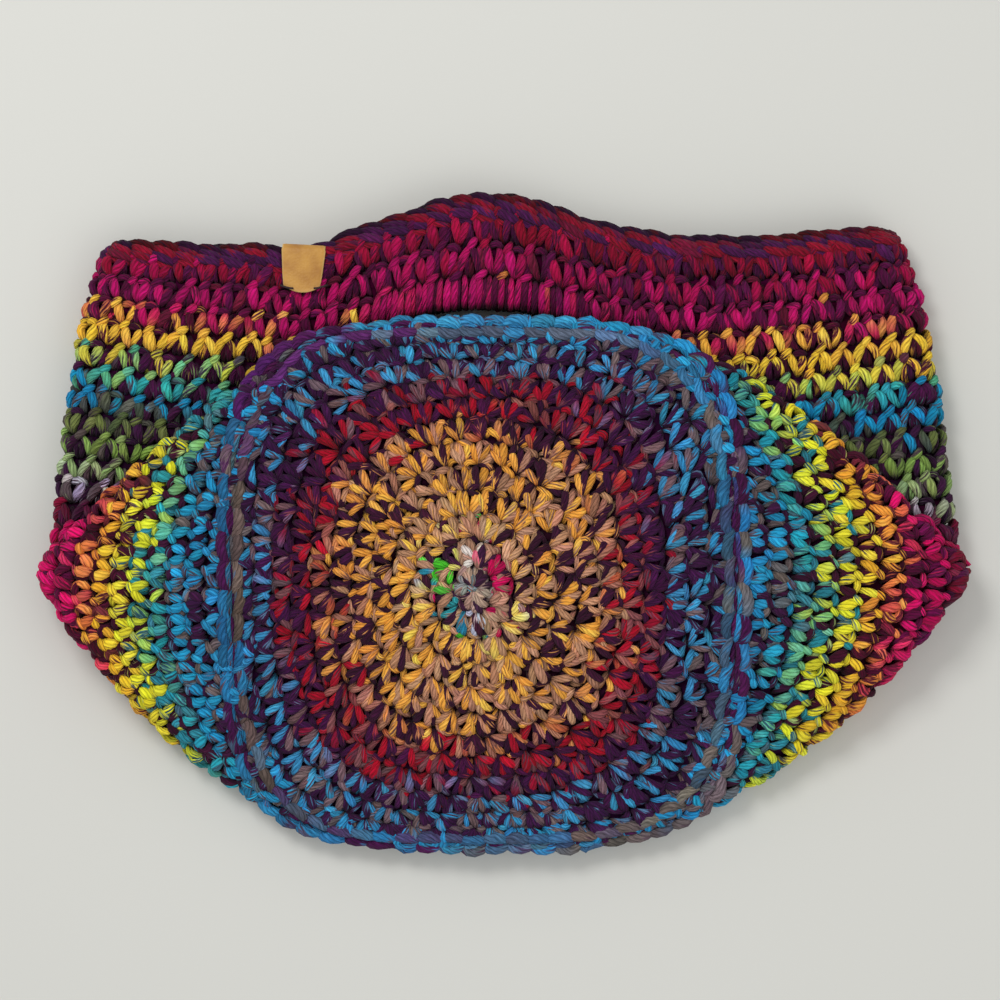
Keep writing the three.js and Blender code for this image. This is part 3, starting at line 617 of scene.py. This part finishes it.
# Faces are their corners one after another, and sizes says how many corners each face has
def makeMesh(name, points, faces, sizes, material, uv=None, dyes=()):
    mesh = bpy.data.meshes.new(name)
    mesh.vertices.add(len(points))
    mesh.vertices.foreach_set("co", (points / 1000).astype(np.float32).ravel())
    mesh.loops.add(len(faces))
    mesh.loops.foreach_set("vertex_index", faces.astype(np.int32))
    mesh.polygons.add(len(sizes))
    mesh.polygons.foreach_set("loop_start", (np.cumsum(sizes) - sizes).astype(np.int32))
    if uv is not None:
        mesh.uv_layers.new(name="strand").data.foreach_set("uv", uv.astype(np.float32).ravel())
    mesh.update(calc_edges=True)
    mesh.polygons.foreach_set("use_smooth", np.ones(len(sizes), bool))
    for layerName, dye in zip(("dye", "partner"), dyes):
        paint(mesh, layerName, dye)
    mesh.materials.append(material)
    return addObject(name, mesh)


# Painted shade: the side of a strand turned to the fabric is darkened in its colours
paintedUnderShade = {"shade": 0.35, "from": -0.75, "to": 0.55}  # darker side of a strand, turned to the fabric


# Closed strands along paths. Paths are (strands, rings, 3), with normals to lay them by, thickness and dye;
# the dye gets painted shade on the side of each strand turned to the fabric.
def strandMesh(name, centre, normal, thick, dyes, sides, material, flat=0.88):
    count, rings = centre.shape[:2]
    ahead = unit(np.gradient(centre, axis=1))
    across = unit(np.cross(ahead, normal))
    over = np.cross(across, ahead)
    angle = np.arange(sides) * 2 * math.pi / sides
    out = np.cos(angle)[:, None] * across[:, :, None] + flat * np.sin(angle)[:, None] * over[:, :, None]
    ring = centre[:, :, None] + thick[:, :, None, None] * out
    first = centre[:, 0] - ahead[:, 0] * thick[:, :1] * 0.5
    last = centre[:, -1] + ahead[:, -1] * thick[:, -1:] * 0.5
    points = np.concatenate([ring.reshape(count, -1, 3), np.stack([first, last], 1)], 1)
    each = rings * sides + 2
    step = np.linalg.norm(np.diff(centre, axis=1), axis=-1)
    length = np.concatenate([np.zeros((count, 1)), np.cumsum(step, 1)], 1) + chance.uniform(0, 20, (count, 1))
    faces, sizes, where = [], [], []
    for r in range(rings - 1):
        for s in range(sides):
            n = (s + 1) % sides
            faces += [r * sides + s, r * sides + n, (r + 1) * sides + n, (r + 1) * sides + s]
            where += [(s, r), (s + 1, r), (s + 1, r + 1), (s, r + 1)]
            sizes.append(4)
    end = rings - 1
    for s in range(sides):
        n = (s + 1) % sides
        faces += [n, s, rings * sides, end * sides + s, end * sides + n, rings * sides + 1]
        where += [(s + 1, 0), (s, 0), (s + 0.5, 0), (s, end), (s + 1, end), (s + 0.5, end)]
        sizes += [3, 3]
    where = np.array(where)
    allFaces = (np.array(faces)[None] + each * np.arange(count)[:, None]).ravel()
    around = np.broadcast_to(where[:, 0] / sides, (count, len(where)))
    uv = np.stack([around, length[:, where[:, 1].astype(int)]], -1)
    # painted shade on the side of each strand that faces the fabric
    low = lerp(paintedUnderShade["shade"], 1, smoothStep(np.sin(angle), paintedUnderShade["from"], paintedUnderShade["to"]))
    coatsWithShade = []
    for dye in dyes:
        colour = np.repeat(dye[:, :, None], sides, axis=2)
        colour[..., :3] *= low[:, None]
        colour = colour.reshape(count, -1, dye.shape[-1])
        coatsWithShade.append(np.concatenate([colour, dye[:, :1], dye[:, -1:]], 1).reshape(-1, dye.shape[-1]))
    return makeMesh(name, points.reshape(-1, 3), allFaces, np.tile(sizes, count), material,
                    uv=uv.reshape(-1, 2), dyes=coatsWithShade)


underLabel = {"halfWidth": 10.5, "drop": 18.5, "above": 14.0, "ceiling": 22.9}


# Height that strands under the label stay below
def lowUnderLabel(centre, thick):
    x, y, z = centre[..., 0], centre[..., 1], centre[..., 2]
    beside = np.abs(x - bag["labelX"]) < underLabel["halfWidth"] + thick
    near = beside & (y > rimLine(x) - underLabel["drop"] - thick) & (z > underLabel["above"])
    return np.where(near, underLabel["ceiling"] - thick, 99)


# How far strands stray from their shape: across and along in the shape's units, lift in millimetres
looseness = {"strandAcross": 0.045, "stitchAcross": 0.03, "stitchAlong": 0.035, "strandAlong": 0.03,
             "lift": 0.4, "thick": 0.09}
# Painted shade: the strand colours are darkened where a strand goes down between others
paintedCavityShade = {"shade": 0.28, "from": -1.6, "to": 1.3}  # strands darken where they go down between others
dyeSpread = {
    "shade": 0.17, "tint": 0.05, "alongStrand": 0.12, "perStitch": 0.6, "tweed": 0.3, "patchy": 0.8,
    "wanderStep": 5, "tweedStep": 3.2, "patchyStep": 3,  # stitches from one change to the next
    "settled": (2.9, 3.4),  # the middle of the base keeps its own colours in place up to here, in rounds
    "otherPlies": (0.3, 1.3),
}
fine, plainBack = (7, 7, 7), (5, 5, 5)  # rings and sides of a strand, and the most strands in a stitch
shiftToRow = Matrix.Translation((0, -bag["middle"] / 1000, 0))
yarnPieces = []


# Lays stitches on a surface. u, v place each stitch, rounds gives its round for the dye. Each stitch
# takes one of the shapes, by their shares. Dull and stray are the shares of strands of the bright and of
# the deep yarn that show the other one.
def workStitches(name, shapes, shell, u, v, rounds, fineness, lean=0.0, leanSpread=0.09, loose=1.0, size=1.0,
                 dull=0.18, stray=0.12, below=None):
    names, shares = list(shapes), np.array(list(shapes.values()), float)
    rings, sides, mostStrands = fineness
    count, number = len(u), min(len(stitchShape[names[0]]), mostStrands)
    pick = chance.choice(len(names), count, p=shares / shares.sum())
    below = rounds - 1 if below is None else below
    paths = np.array([[smoothPath(path, rings) for _, path in stitchShape[n][:number]] for n in names])[pick]
    du, dv, up, thick = (paths[..., k].copy() for k in range(4))
    perStitch, perStrand = (count, 1, 1), (count, number, 1)
    lengthwise = np.linspace(-1, 1, rings)
    bow = 1 - lengthwise ** 2

    def spread(part, shape):
        return loose * chance.normal(0, looseness[part], shape)

    thick *= size
    du += spread("strandAcross", perStrand) * (0.4 + bow)
    du += spread("stitchAcross", perStitch)
    dv += spread("stitchAlong", perStitch) + spread("strandAlong", perStrand) * bow
    up += spread("lift", perStrand) * bow
    thick *= 1 + spread("thick", perStrand)
    angle = lean + loose * chance.normal(0, leanSpread, perStitch)
    du, dv = du * np.cos(angle) - dv * np.sin(angle), du * np.sin(angle) + dv * np.cos(angle)
    us, vs = u[:, None, None] + du, v[:, None, None] + dv
    step = 0.04  # to measure the surface's slope with
    right = shell(us + step, vs) - shell(us - step, vs)
    upward = shell(us, vs + step) - shell(us, vs - step)
    normal = unit(np.cross(right, upward))
    centre = shell(us, vs) + normal * up[..., None]
    centre[..., 2] = np.minimum(centre[..., 2], lowUnderLabel(centre, thick))
    centre[..., 2] = np.maximum(centre[..., 2], thick * 0.9 + 0.05)  # stays above the table

    settled = smoothStep(rounds, *dyeSpread["settled"])
    wander = slowNoise(count, dyeSpread["wanderStep"]) + dyeSpread["perStitch"] * chance.normal(0, 1, count)
    wander *= yarnDye["wander"] * settled
    tweedy = np.interp(rounds, *np.array(yarnDye["tweedShare"]).T)
    tweedy += dyeSpread["tweed"] * slowNoise(count, dyeSpread["tweedStep"])
    patchy = 1 + dyeSpread["patchy"] * slowNoise(count, dyeSpread["patchyStep"])
    dye, partner = np.empty((*du.shape, 3)), np.empty((*du.shape, 4))
    for k in range(number):
        kinds = np.array([stitchShape[n][k][0] for n in names])[pick]
        strandWander = yarnDye["strandWander"] * settled * chance.normal(0, 1, count)
        at = np.where(kinds == "below", below, rounds) + wander + strandWander
        slide = dyeSpread["alongStrand"] * (1 if k % 2 else -1)
        at = at[:, None] + slide * lengthwise[None] * settled[:, None]
        bright, tweed, deep = dyeAt("bright", at), dyeAt("tweed", at), dyeAt("deep", at)
        tweedStrand = (chance.random(count) < tweedy) | (kinds == "tweed")
        second = np.where(tweedStrand[:, None, None], tweed, deep)
        ownBright = (kinds == "bright") | (kinds == "below")
        changed = chance.random(count) < patchy * np.where(ownBright, dull, stray)
        isBright = (ownBright ^ changed)[:, None, None]
        dye[:, k] = np.where(isBright, bright, second)
        partner[:, k, :, :3] = np.where(isBright, lerp(tweed, deep, 0.5), lerp(tweed, bright, 0.5))
        share = np.where(isBright[..., 0], yarnDye["mixBright"], yarnDye["mixDeep"])
        partner[:, k, :, 3] = share * chance.uniform(*dyeSpread["otherPlies"], (count, 1))
    # Painted shade where strands go down between others, times a random tone per strand; both are multiplied
    # into the dye and partner colours
    cavityShade = lerp(paintedCavityShade["shade"], 1, smoothStep(up, paintedCavityShade["from"], paintedCavityShade["to"]))[..., None]
    shade = np.exp(chance.normal(0, dyeSpread["shade"], (count, number, 1, 1))) * cavityShade
    dye *= shade * (1 + chance.normal(0, dyeSpread["tint"], (count, number, 1, 3)))
    partner[..., :3] *= shade

    def strands(values):
        return values.reshape(count * number, rings, *values.shape[3:])

    dyes = [np.clip(strands(dye), 0.002, 1), np.clip(strands(partner), 0.002, 1)]
    piece = strandMesh(name, strands(centre), strands(normal), strands(thick), dyes, sides, stripedYarn)
    piece.data.transform(shiftToRow)
    print(name, count, "stitches", len(piece.data.polygons), "faces")
    return piece


# Base: rounds of 6, 12, 18 ... stitches from its middle
def workBase(name, firstRound, lastRound):
    u, v, per = [], [], []
    for r in range(firstRound, lastRound + 1):
        n = 6 * r
        u += list(np.arange(n) + chance.uniform(0, 1))
        v += [r - 0.5] * n
        per += [n] * n
    u, v, per = np.array(u), np.array(v), np.array(per, float)[:, None, None]

    def shell(us, vs):
        share = np.maximum(vs, 0.03) * base["reach"] / base["rounds"] / bag["baseRadius"]
        return basePoint(share, base["startAngle"] - 2 * math.pi * us / per)

    # the first two rounds change colour by their way round
    turn = (-u / per[:, 0, 0]) % 1.0
    dyes = (base["firstDye"], base["secondDye"], base["laterDye"])
    firstDye, secondDye, laterDye = (start + change * turn for start, change in dyes)
    rounds = np.where(v < 1, firstDye, np.where(v < 2, secondDye, v + laterDye))
    below = np.where(v < 2, rounds, np.where(v < 3, secondDye, rounds - 1))
    leftward = np.maximum(-np.cos(base["startAngle"] + 2 * math.pi * turn), 0) ** 3
    rounds = rounds - base["leftPull"] * leftward * smoothStep(v, 6, 8)
    dull = lerp(*base["dull"], smoothStep(v, 8, 10))
    return workStitches(name, {"fan": 1}, shell, u, v, rounds, fine, lean=base["lean"],
                        leanSpread=base["leanSpread"], loose=base["loose"], size=base["size"],
                        dull=dull, stray=base["stray"], below=below)


yarnPieces.append(workBase("base_rounds_inner", 1, 8))
yarnPieces.append(workBase("base_rounds_outer", 9, 12))


# The raised chain round the base, at a share of the base's radius
baseChain = {"share": 0.957, "dull": 0.15, "stray": 0.1, "loose": 0.7, "size": 1.1,
             "firstDye": 40, "dyes": 10}


def workBaseChain():
    u = np.arange(bag["stitches"], dtype=float)

    def shell(us, vs):
        share = baseChain["share"] + vs * base["reach"] / base["rounds"] / bag["baseRadius"]
        return basePoint(share, -2 * math.pi * us / bag["stitches"])

    rounds = baseChain["firstDye"] + baseChain["dyes"] * (-u / bag["stitches"] % 1)
    return workStitches("base_chain", {"chain": 1}, shell, u, 0 * u, rounds, fine, loose=baseChain["loose"],
                        size=baseChain["size"], dull=baseChain["dull"], stray=baseChain["stray"])


yarnPieces.append(workBaseChain())


# Rounds from the chain round the base out to a tip, and on round the lower edge
def workGusset(name, side):
    u, v = [], []
    for r in range(gusset["rounds"]):
        at = r + 0.5
        foot = gussetFoot(side, gussetStation(side, at))
        low, high = lowerEdge(foot), upperEdge(foot)
        half = (high - low) / 2
        flat = half - min(bag["edgeRoll"], half * gusset["rollShare"])
        rise = (baseLevel(low) - gusset["lowerUnder"]) / 2
        upper = max(flat + gusset["upperOver"], half)
        lower = flat + gusset["lowerTurn"] * (bag["edgeRoll"] + rise) / 2
        n = max(int(round((upper + lower) / (bag["stitchWidth"] * gusset["spacing"]))), 2)
        along = lower - (np.arange(n) + 0.25 + 0.5 * (r % 2)) * (upper + lower) / n
        u += list(side * along / bag["stitchWidth"])
        v += [at] * n
    u, v = np.array(u), np.array(v)
    size, pace = gusset["dyeWave"]
    rounds = gusset["firstDye"][side] + v + size * np.sin(u * pace)
    dull = lerp(*gusset["dull"], smoothStep(v, 4, 6))
    return workStitches(name, {"heart": 3, "peak": 1}, gussetShell(side), u, v, rounds, fine,
                        leanSpread=gusset["leanSpread"], dull=dull)


yarnPieces.append(workGusset("gusset_left", -1))
yarnPieces.append(workGusset("gusset_right", 1))


# Stitches side by side in rows, every second row half a stitch on
def rowPlaces(rows, fromU, count):
    u, v = [], []
    for r in rows:
        u += list(np.arange(count) + fromU + 0.5 * (r % 2))
        v += [r + 0.5] * count
    return np.array(u, float), np.array(v, float)


# Fold rounds: the wall's first rounds, where they roll over the top and bottom fold of the base
def workFold(name, side, rows):
    count = foldRound["stitches"]
    u, v = rowPlaces(range(rows), -(count - 1) / 2, count)
    return workStitches(name, {"heart": 1}, foldShell(side), u, v, foldRound["firstDye"] + v, fine)


yarnPieces.append(workFold("fold_round_top", 1, 1))
yarnPieces.append(workFold("fold_round_bottom", -1, 2))

# Wall of the bag, as rounds that run over the front, the side folds and the back
wall = {
    "lastDye": 35.45, "slope": 0.6, "slopeWidth": 18.0,  # the colours climb towards the left
    "upper": {"heart": 4, "peak": 1}, "lower": {"peak": 3, "heart": 1}, "upperRounds": 4,
    "halfFront": 20,  # stitches from the middle of the front to where the back begins
    "underFold": 11.0,  # how far the front goes on under the turned-up part
    "slotRound": 3.5, "slotInset": 1.0, "strapOver": 3.0, "strapLoose": 0.6,
    "gold": (30.2, 30.8, 32.2, 32.6), "dull": (0.18, 0.04),  # the gold rounds show less of the deep yarn
}


def workWall(name, shapes, rows, span, fineness, front):
    u, v = rowPlaces(rows, span[0], span[1] - span[0])
    halfRound = bag["stitches"] / 2
    u, v = (u + halfRound) % bag["stitches"] - halfRound, -v
    spot = tubeShell(u, v)
    pastSlot = np.abs(spot[:, 0] - bag["handleX"]) - bag["slotLength"] / 2
    gap = (pastSlot < -wall["slotInset"]) & (-v == wall["slotRound"])
    strap = (pastSlot < wall["strapOver"]) & (-v == wall["slotRound"] - 1)
    if front:
        gap = gap | (spot[:, 1] < upperEdge(spot[:, 0]) - wall["underFold"])
    plain = ~gap & ~strap
    dye = wall["lastDye"] + v + wall["slope"] * np.clip(u / wall["slopeWidth"], -1, 1)
    goldFrom, goldFull, goldLast, goldTo = wall["gold"]
    gold = smoothStep(dye, goldFrom, goldFull) * (1 - smoothStep(dye, goldLast, goldTo))
    dull = lerp(*wall["dull"], gold)[plain]
    pieces = [workStitches(name, shapes, tubeShell, u[plain], v[plain], dye[plain], fineness, dull=dull)]
    if strap.any():
        pieces.append(workStitches(name + "_strap", {"strap": 1}, tubeShell, u[strap], v[strap],
                                   dye[strap] + 0.2, fineness, loose=wall["strapLoose"]))
    return pieces


frontSpan = (-wall["halfFront"], wall["halfFront"])
backSpan = (wall["halfFront"], bag["stitches"] - wall["halfFront"])
allRows = range(bag["frontRounds"])
upperRows, lowerRows = allRows[:wall["upperRounds"]], allRows[wall["upperRounds"]:]
yarnPieces += workWall("wall_front_upper", wall["upper"], upperRows, frontSpan, fine, front=True)
yarnPieces += workWall("wall_front_lower", wall["lower"], lowerRows, frontSpan, fine, front=True)
yarnPieces += workWall("wall_back", wall["lower"], allRows, backSpan, plainBack, front=False)


def workLowerBack():
    width = bag["stitchWidth"] * lowerBack["spacing"]
    u, v = [], []
    for r in range(lowerBack["rounds"]):
        at = r + 0.5
        reach = float(lowerReach(-at * bag["roundHeight"])) - bag["edgeRoll"] + lowerBack["overEdge"]
        n = int(round(2 * reach / width))
        u += list((np.arange(n) - (n - 1) / 2) * 2 * reach / n / width)
        v += [-at] * n
    u, v = np.array(u), np.array(v)
    x, y, _ = lowerBackShell(u, v).T
    keep = y > lowerEdge(np.clip(x, -lowerBack["lastX"], lowerBack["lastX"])) + lowerBack["foldGap"]
    u, v = u[keep], v[keep]
    rounds = lowerBack["dye"] + v * lowerBack["dyeStep"]
    return workStitches("wall_back_lower", wall["lower"], lowerBackShell, u, v, rounds, plainBack)


yarnPieces.append(workLowerBack())

rim = {"along": 0.06, "dye": 36.6, "mixed": 0.4, "loose": 0.7}


def workRim():
    u = np.arange(bag["stitches"], dtype=float) - bag["stitches"] / 2
    v, rounds = np.full(len(u), rim["along"]), np.full(len(u), rim["dye"])
    return workStitches("rim_chain", {"rim": 1}, tubeShell, u, v, rounds, fine,
                        dull=rim["mixed"], stray=rim["mixed"], loose=rim["loose"])


yarnPieces.append(workRim())
print("yarn laid")

# Inner fabric: what lies under the strands and inside the bag
innerLayer = {"inset": 2.4, "above": 3.2}


# Round of stitches nearest to a place, for the fabric's own colour
def roundAt(places):
    x, y, z = places.T
    power = bag["baseSquareness"]
    spread = np.abs(x - bag["baseX"]) ** power + np.abs(y - bag["baseY"]) ** power
    share = spread ** (1 / power) / bag["baseRadius"]
    edge = bag["baseRadius"] + np.sign(x - bag["baseX"]) * bag["baseX"]
    outwards = np.clip((np.abs(x) - edge) / (bag["tipReach"] - edge), 0, 1)
    folded = np.where(share < 1, share * base["rounds"], gusset["firstDye"][-1] + gusset["rounds"] * outwards)
    onFold = (y < upperEdge(x)) & (y > lowerEdge(x)) & (z > turnedUnder(y) - 1)
    return np.where(onFold, folded, wall["lastDye"] - (rimLine(x) - y) / bag["roundHeight"])


# The CAD fabric, drawn in so that the strands stand proud of it
def innerCore():
    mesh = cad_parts["crochet_body"].data.copy()
    mesh.name = "fabric_core"
    mesh.materials.clear()
    mesh.materials.append(innerFabric)
    points = np.empty(len(mesh.vertices) * 3)
    mesh.vertices.foreach_get("co", points)
    points = points.reshape(-1, 3)
    mesh.calc_loop_triangles()
    corners = np.empty(len(mesh.loop_triangles) * 3, np.int64)
    mesh.loop_triangles.foreach_get("vertices", corners)
    corners = corners.reshape(-1, 3)
    a, b, c = (points[corners[:, k]] for k in range(3))
    # vertices at one place share one normal
    _, same = np.unique(np.round(points * 1e5).astype(np.int64), axis=0, return_inverse=True)
    same = same.ravel()
    sums = np.zeros((same.max() + 1, 3))
    for k in range(3):
        np.add.at(sums, same[corners[:, k]], np.cross(b - a, c - a))
    points -= unit(sums[same]) * innerLayer["inset"] / 1000
    points[:, 2] = np.maximum(points[:, 2], innerLayer["above"] / 1000)
    mesh.vertices.foreach_set("co", points.ravel())
    mesh.update()
    paint(mesh, "dye", dyeAt("deep", roundAt(points * 1000 + [0, bag["middle"], 0])))
    return addObject("fabric_core", mesh)


for piece in yarnPieces + [innerCore()]:
    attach(piece, "root")
    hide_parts("crochet_body")


# Leather label: a folded strip over the mouth, narrower at its bowed front edge
label = {
    "width": 20.0, "drop": 20.5, "backDrop": 12.0, "leather": 1.3, "taper": 3.5, "clearance": 0.7,
    "chainRadius": 3.5, "chainSeat": 1.0, "backLevel": 16.0, "bend": 2.6, "turn": math.radians(-3),
    "edgeBow": 2.8, "bowRows": 9, "crown": 0.45, "curl": 0.5, "curlRows": 5, "edgeRound": 0.35,
    "roundFrom": 0.9, "worn": 0.8, "wornFrom": 0.93, "columns": 24,
}
leatherFinish = {
    "colour": (194, 142, 60), "edge": (222, 186, 116), "dark": (166, 112, 42), "cloud": 110.0,
    "clouds": (0.3, 0.62), "roughness": 0.55, "grain": 900.0, "relief": 0.00012,
}


def leatherMaterial():
    material, tree, shader = newMaterial("tanLeather", leatherFinish["roughness"])
    place = objectPlace(tree)
    cloud = addNode(tree, "TexNoise", {"Vector": place, "Scale": leatherFinish["cloud"], "Detail": 5})
    colours = toLinear(leatherFinish["dark"]), toLinear(leatherFinish["colour"])
    tone = ramp(tree, cloud.outputs[0], zip(leatherFinish["clouds"], colours))
    edge = (*toLinear(leatherFinish["edge"]), 1)
    worn = vertexColour(tree, "dye")["Color"]
    tree.links.new(blend(tree, "MIX", worn, tone, edge), shader.inputs["Base Color"])
    grain = addNode(tree, "TexVoronoi", {"Vector": place, "Scale": leatherFinish["grain"]})
    addBump(tree, shader, grain.outputs["Distance"], leatherFinish["relief"])
    return material


# The strip's path from its front edge over the rim to its back edge, as y and z, with the number of points
# in front of the first bend
def labelPath(rimY):
    bend, half = label["bend"], label["leather"] / 2
    high = bag["frontTop"] + label["chainRadius"] - bag["fabric"] / 2 + label["clearance"] + half
    low = label["backLevel"] - label["chainRadius"] + bag["fabric"] / 2 - label["clearance"] - half
    far = rimY + half

    def corner(z, fromAngle, toAngle):
        angles = [lerp(fromAngle, toAngle, k / 8) for k in range(1, 9)]
        return [(far - bend + bend * math.cos(a), z + bend * math.sin(a)) for a in angles]

    front = [(rimY - label["drop"] + k * (label["drop"] - bend) / 20, high) for k in range(21)]
    over = corner(high - bend, math.pi / 2, 0)
    over += [(far, lerp(high - bend, low + bend, k / 6)) for k in range(1, 7)]
    under = corner(low + bend, 0, -math.pi / 2)
    back = [(lerp(rimY - bend, rimY - label["backDrop"], k / 10), low) for k in range(1, 11)]
    return np.array(front + over + under + back), len(front)


def leatherLabel():
    rimY = float(rimLine(bag["labelX"])) + label["chainSeat"] + label["chainRadius"] + label["clearance"]
    path, front = labelPath(rimY)
    ahead = unit(np.gradient(path, axis=0))
    rows, columns = len(path), label["columns"]
    row, s = np.arange(rows)[:, None], np.linspace(-1, 1, columns + 1)[None]
    down = np.where(row < front + 1, np.clip((rimY - path[:, :1]) / label["drop"], 0, 1), 0.2)
    x = bag["labelX"] + s * (label["width"] / 2 - label["taper"] / 2 * down)
    bow = label["edgeBow"] * s * s * np.clip(1 - row / label["bowRows"], 0, 1)
    y = path[:, :1] + np.where(row < front, bow, 0)
    curl = label["curl"] * np.clip(1 - row / label["curlRows"], 0, 1) * (0.4 + s * 0.6)
    crown = np.where(row < front + 3, label["crown"] * (1 - s * s) + curl, 0)
    toEdge = np.clip((np.abs(s) - label["roundFrom"]) / (1 - label["roundFrom"]), 0, 1)
    thin = label["leather"] / 2 * (1 - label["edgeRound"] * toEdge ** 2)
    grid = np.zeros((2, rows, columns + 1, 3))
    for face, sign in enumerate((1, -1)):
        grid[face, ..., 0] = x
        grid[face, ..., 1] = y - ahead[:, 1:] * sign * thin
        grid[face, ..., 2] = path[:, 1:] + ahead[:, :1] * sign * thin + crown
    wornSide = np.clip((np.abs(s) - label["wornFrom"]) / (1 - label["wornFrom"]), 0, 1)
    worn = np.maximum(wornSide, np.clip(1 - row / 1.2, 0, 1)) * label["worn"]
    index = np.arange(2 * rows * (columns + 1)).reshape(2, rows, columns + 1)

    def quads(a, b, c, d):
        return np.stack([a, b, c, d], -1).reshape(-1, 4)

    top, bottom = index
    faces = np.vstack([quads(top[:-1, :-1], top[:-1, 1:], top[1:, 1:], top[1:, :-1]),
                       quads(bottom[:-1, :-1], bottom[1:, :-1], bottom[1:, 1:], bottom[:-1, 1:]),
                       quads(top[:-1, 0], top[1:, 0], bottom[1:, 0], bottom[:-1, 0]),
                       quads(top[:-1, -1], bottom[:-1, -1], bottom[1:, -1], top[1:, -1]),
                       quads(top[0, :-1], bottom[0, :-1], bottom[0, 1:], top[0, 1:]),
                       quads(top[-1, :-1], top[-1, 1:], bottom[-1, 1:], bottom[-1, :-1])])
    pivot = np.array([bag["labelX"], rimY, 0])
    points = grid.reshape(-1, 3) - pivot
    cos, sin = math.cos(label["turn"]), math.sin(label["turn"])
    points[:, :2] = points[:, :2] @ np.array([[cos, -sin], [sin, cos]]).T
    colours = np.repeat(np.stack([worn, worn]).reshape(-1, 1), 3, axis=1)
    sizes = np.full(len(faces), 4)
    piece = makeMesh("label_leather", points + pivot, faces.ravel(), sizes, leatherMaterial(), dyes=[colours])
    piece.data.transform(shiftToRow)
    return piece


labelPiece = leatherLabel()
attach(labelPiece, "root")
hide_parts("leather_label")

# Threads that hold the label. Their path is in shares of their CAD box, outwards from the label, towards
# the mouth and down, with a lift in millimetres.
thread = {
    # crest and furrow set the painted highlight on the thread's ply crests and the painted shade in its
    # furrows
    "colour": (48, 30, 34), "crest": 1.4, "furrow": 0.5, "roughness": 0.8, "plies": 2.0, "pitch": 0.7,
    "relief": 0.0002, "radius": 0.45, "rings": 14, "sides": 8,
    "path": [(0, 0.3, 0, -0.4), (0.25, 0.32, 0, 0.1), (0.6, 0.45, 0, 0), (0.85, 0.6, 0.4, 0), (1, 0.7, 1, 0)],
}


def threadMaterial():
    material, tree, shader = newMaterial("sewingThread", thread["roughness"])
    ply = plySurface(tree, thread["plies"], thread["pitch"])
    colour = toLinear(thread["colour"])
    # Painted highlight on the ply crests and painted shade in the furrows of the thread
    tone = ramp(tree, ply["Furrow"], [(0, colour * thread["crest"]), (1, colour * thread["furrow"])])
    tree.links.new(tone, shader.inputs["Base Color"])
    addBump(tree, shader, ply["Height"], thread["relief"])
    return material


sewingThread = threadMaterial()


def labelStitch(node, name, side):
    (x0, y0, z0), (x1, y1, z1) = (np.array(corner) * 1000 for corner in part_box(node))
    inner, outer = (x1, x0) if side < 0 else (x0, x1)
    path = [(lerp(inner, outer, across), lerp(y0, y1, along), lerp(z1, z0, down) + lift)
            for across, along, down, lift in thread["path"]]
    path = smoothPath(path, thread["rings"])[None]
    up = np.zeros_like(path)
    up[..., 2] = 1
    thick = np.full(path.shape[:2], thread["radius"])
    piece = strandMesh(name, path, up, thick, [], thread["sides"], sewingThread, flat=1.0)
    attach(piece, "root")
    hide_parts(node)


labelStitch("label_thread_left", "thread_left", -1)
labelStitch("label_thread_right", "thread_right", 1)
print("label sewn on")

# Floor, light and camera. The camera looks straight down at the middle of the picture, in millimetres.
room = {
    "floor": (215, 215, 209), "mottle": (0.97, 1.02), "cloud": 1.4, "halfFloor": 3.0, "floorRoughness": 0.7,
    "world": 0.62,
    "cameraX": -1.8, "cameraUp": 31.5, "field": 450.0, "distance": 1600.0, "level": 22.0, "sensor": 36.0,
    "key": {"place": (-0.5, 0.7, 1.3), "power": 9.0, "size": 0.5},
    "fill": {"place": (0.9, -0.5, 1.2), "power": 3.0, "size": 1.0},
}


def makeFloor():
    half, colour = room["halfFloor"], toLinear(room["floor"])
    mesh = bpy.data.meshes.new("floor")
    corners = [(-half, -half, 0), (half, -half, 0), (half, half, 0), (-half, half, 0)]
    mesh.from_pydata(corners, [], [(0, 1, 2, 3)])
    material, tree, shader = newMaterial("paleFloor", room["floorRoughness"])
    cloud = addNode(tree, "TexNoise", {"Vector": objectPlace(tree), "Scale": room["cloud"]})
    low, high = room["mottle"]
    tone = ramp(tree, cloud.outputs[0], [(0, colour * low), (1, colour * high)])
    tree.links.new(tone, shader.inputs["Base Color"])
    mesh.materials.append(material)
    addObject("floor", mesh)


def makeLight(name):
    lamp = bpy.data.lights.new(name, "AREA")
    lamp.energy, lamp.size = room[name]["power"], room[name]["size"]
    thing = addObject(name, lamp)
    thing.location = room[name]["place"]
    thing.rotation_euler = (-thing.location).to_track_quat("-Z", "Y").to_euler()


def makeCamera():
    lens = bpy.data.cameras.new("camera")
    lens.sensor_width = room["sensor"]
    lens.lens = room["sensor"] * room["distance"] / room["field"]
    camera = addObject("camera", lens)
    camera.location = Vector((room["cameraX"], room["cameraUp"] - bag["middle"],
                              room["distance"] + room["level"])) / 1000
    bpy.context.scene.camera = camera


makeFloor()
makeLight("key")
makeLight("fill")
makeCamera()
scene = bpy.context.scene
scene.world = bpy.data.worlds.new("softRoom")
scene.world.use_nodes = True
sky = scene.world.node_tree.nodes["Background"]
sky.inputs["Color"].default_value = (1, 1, 1, 1)
sky.inputs["Strength"].default_value = room["world"]
scene.view_settings.view_transform = "Standard"

print("scene ready")
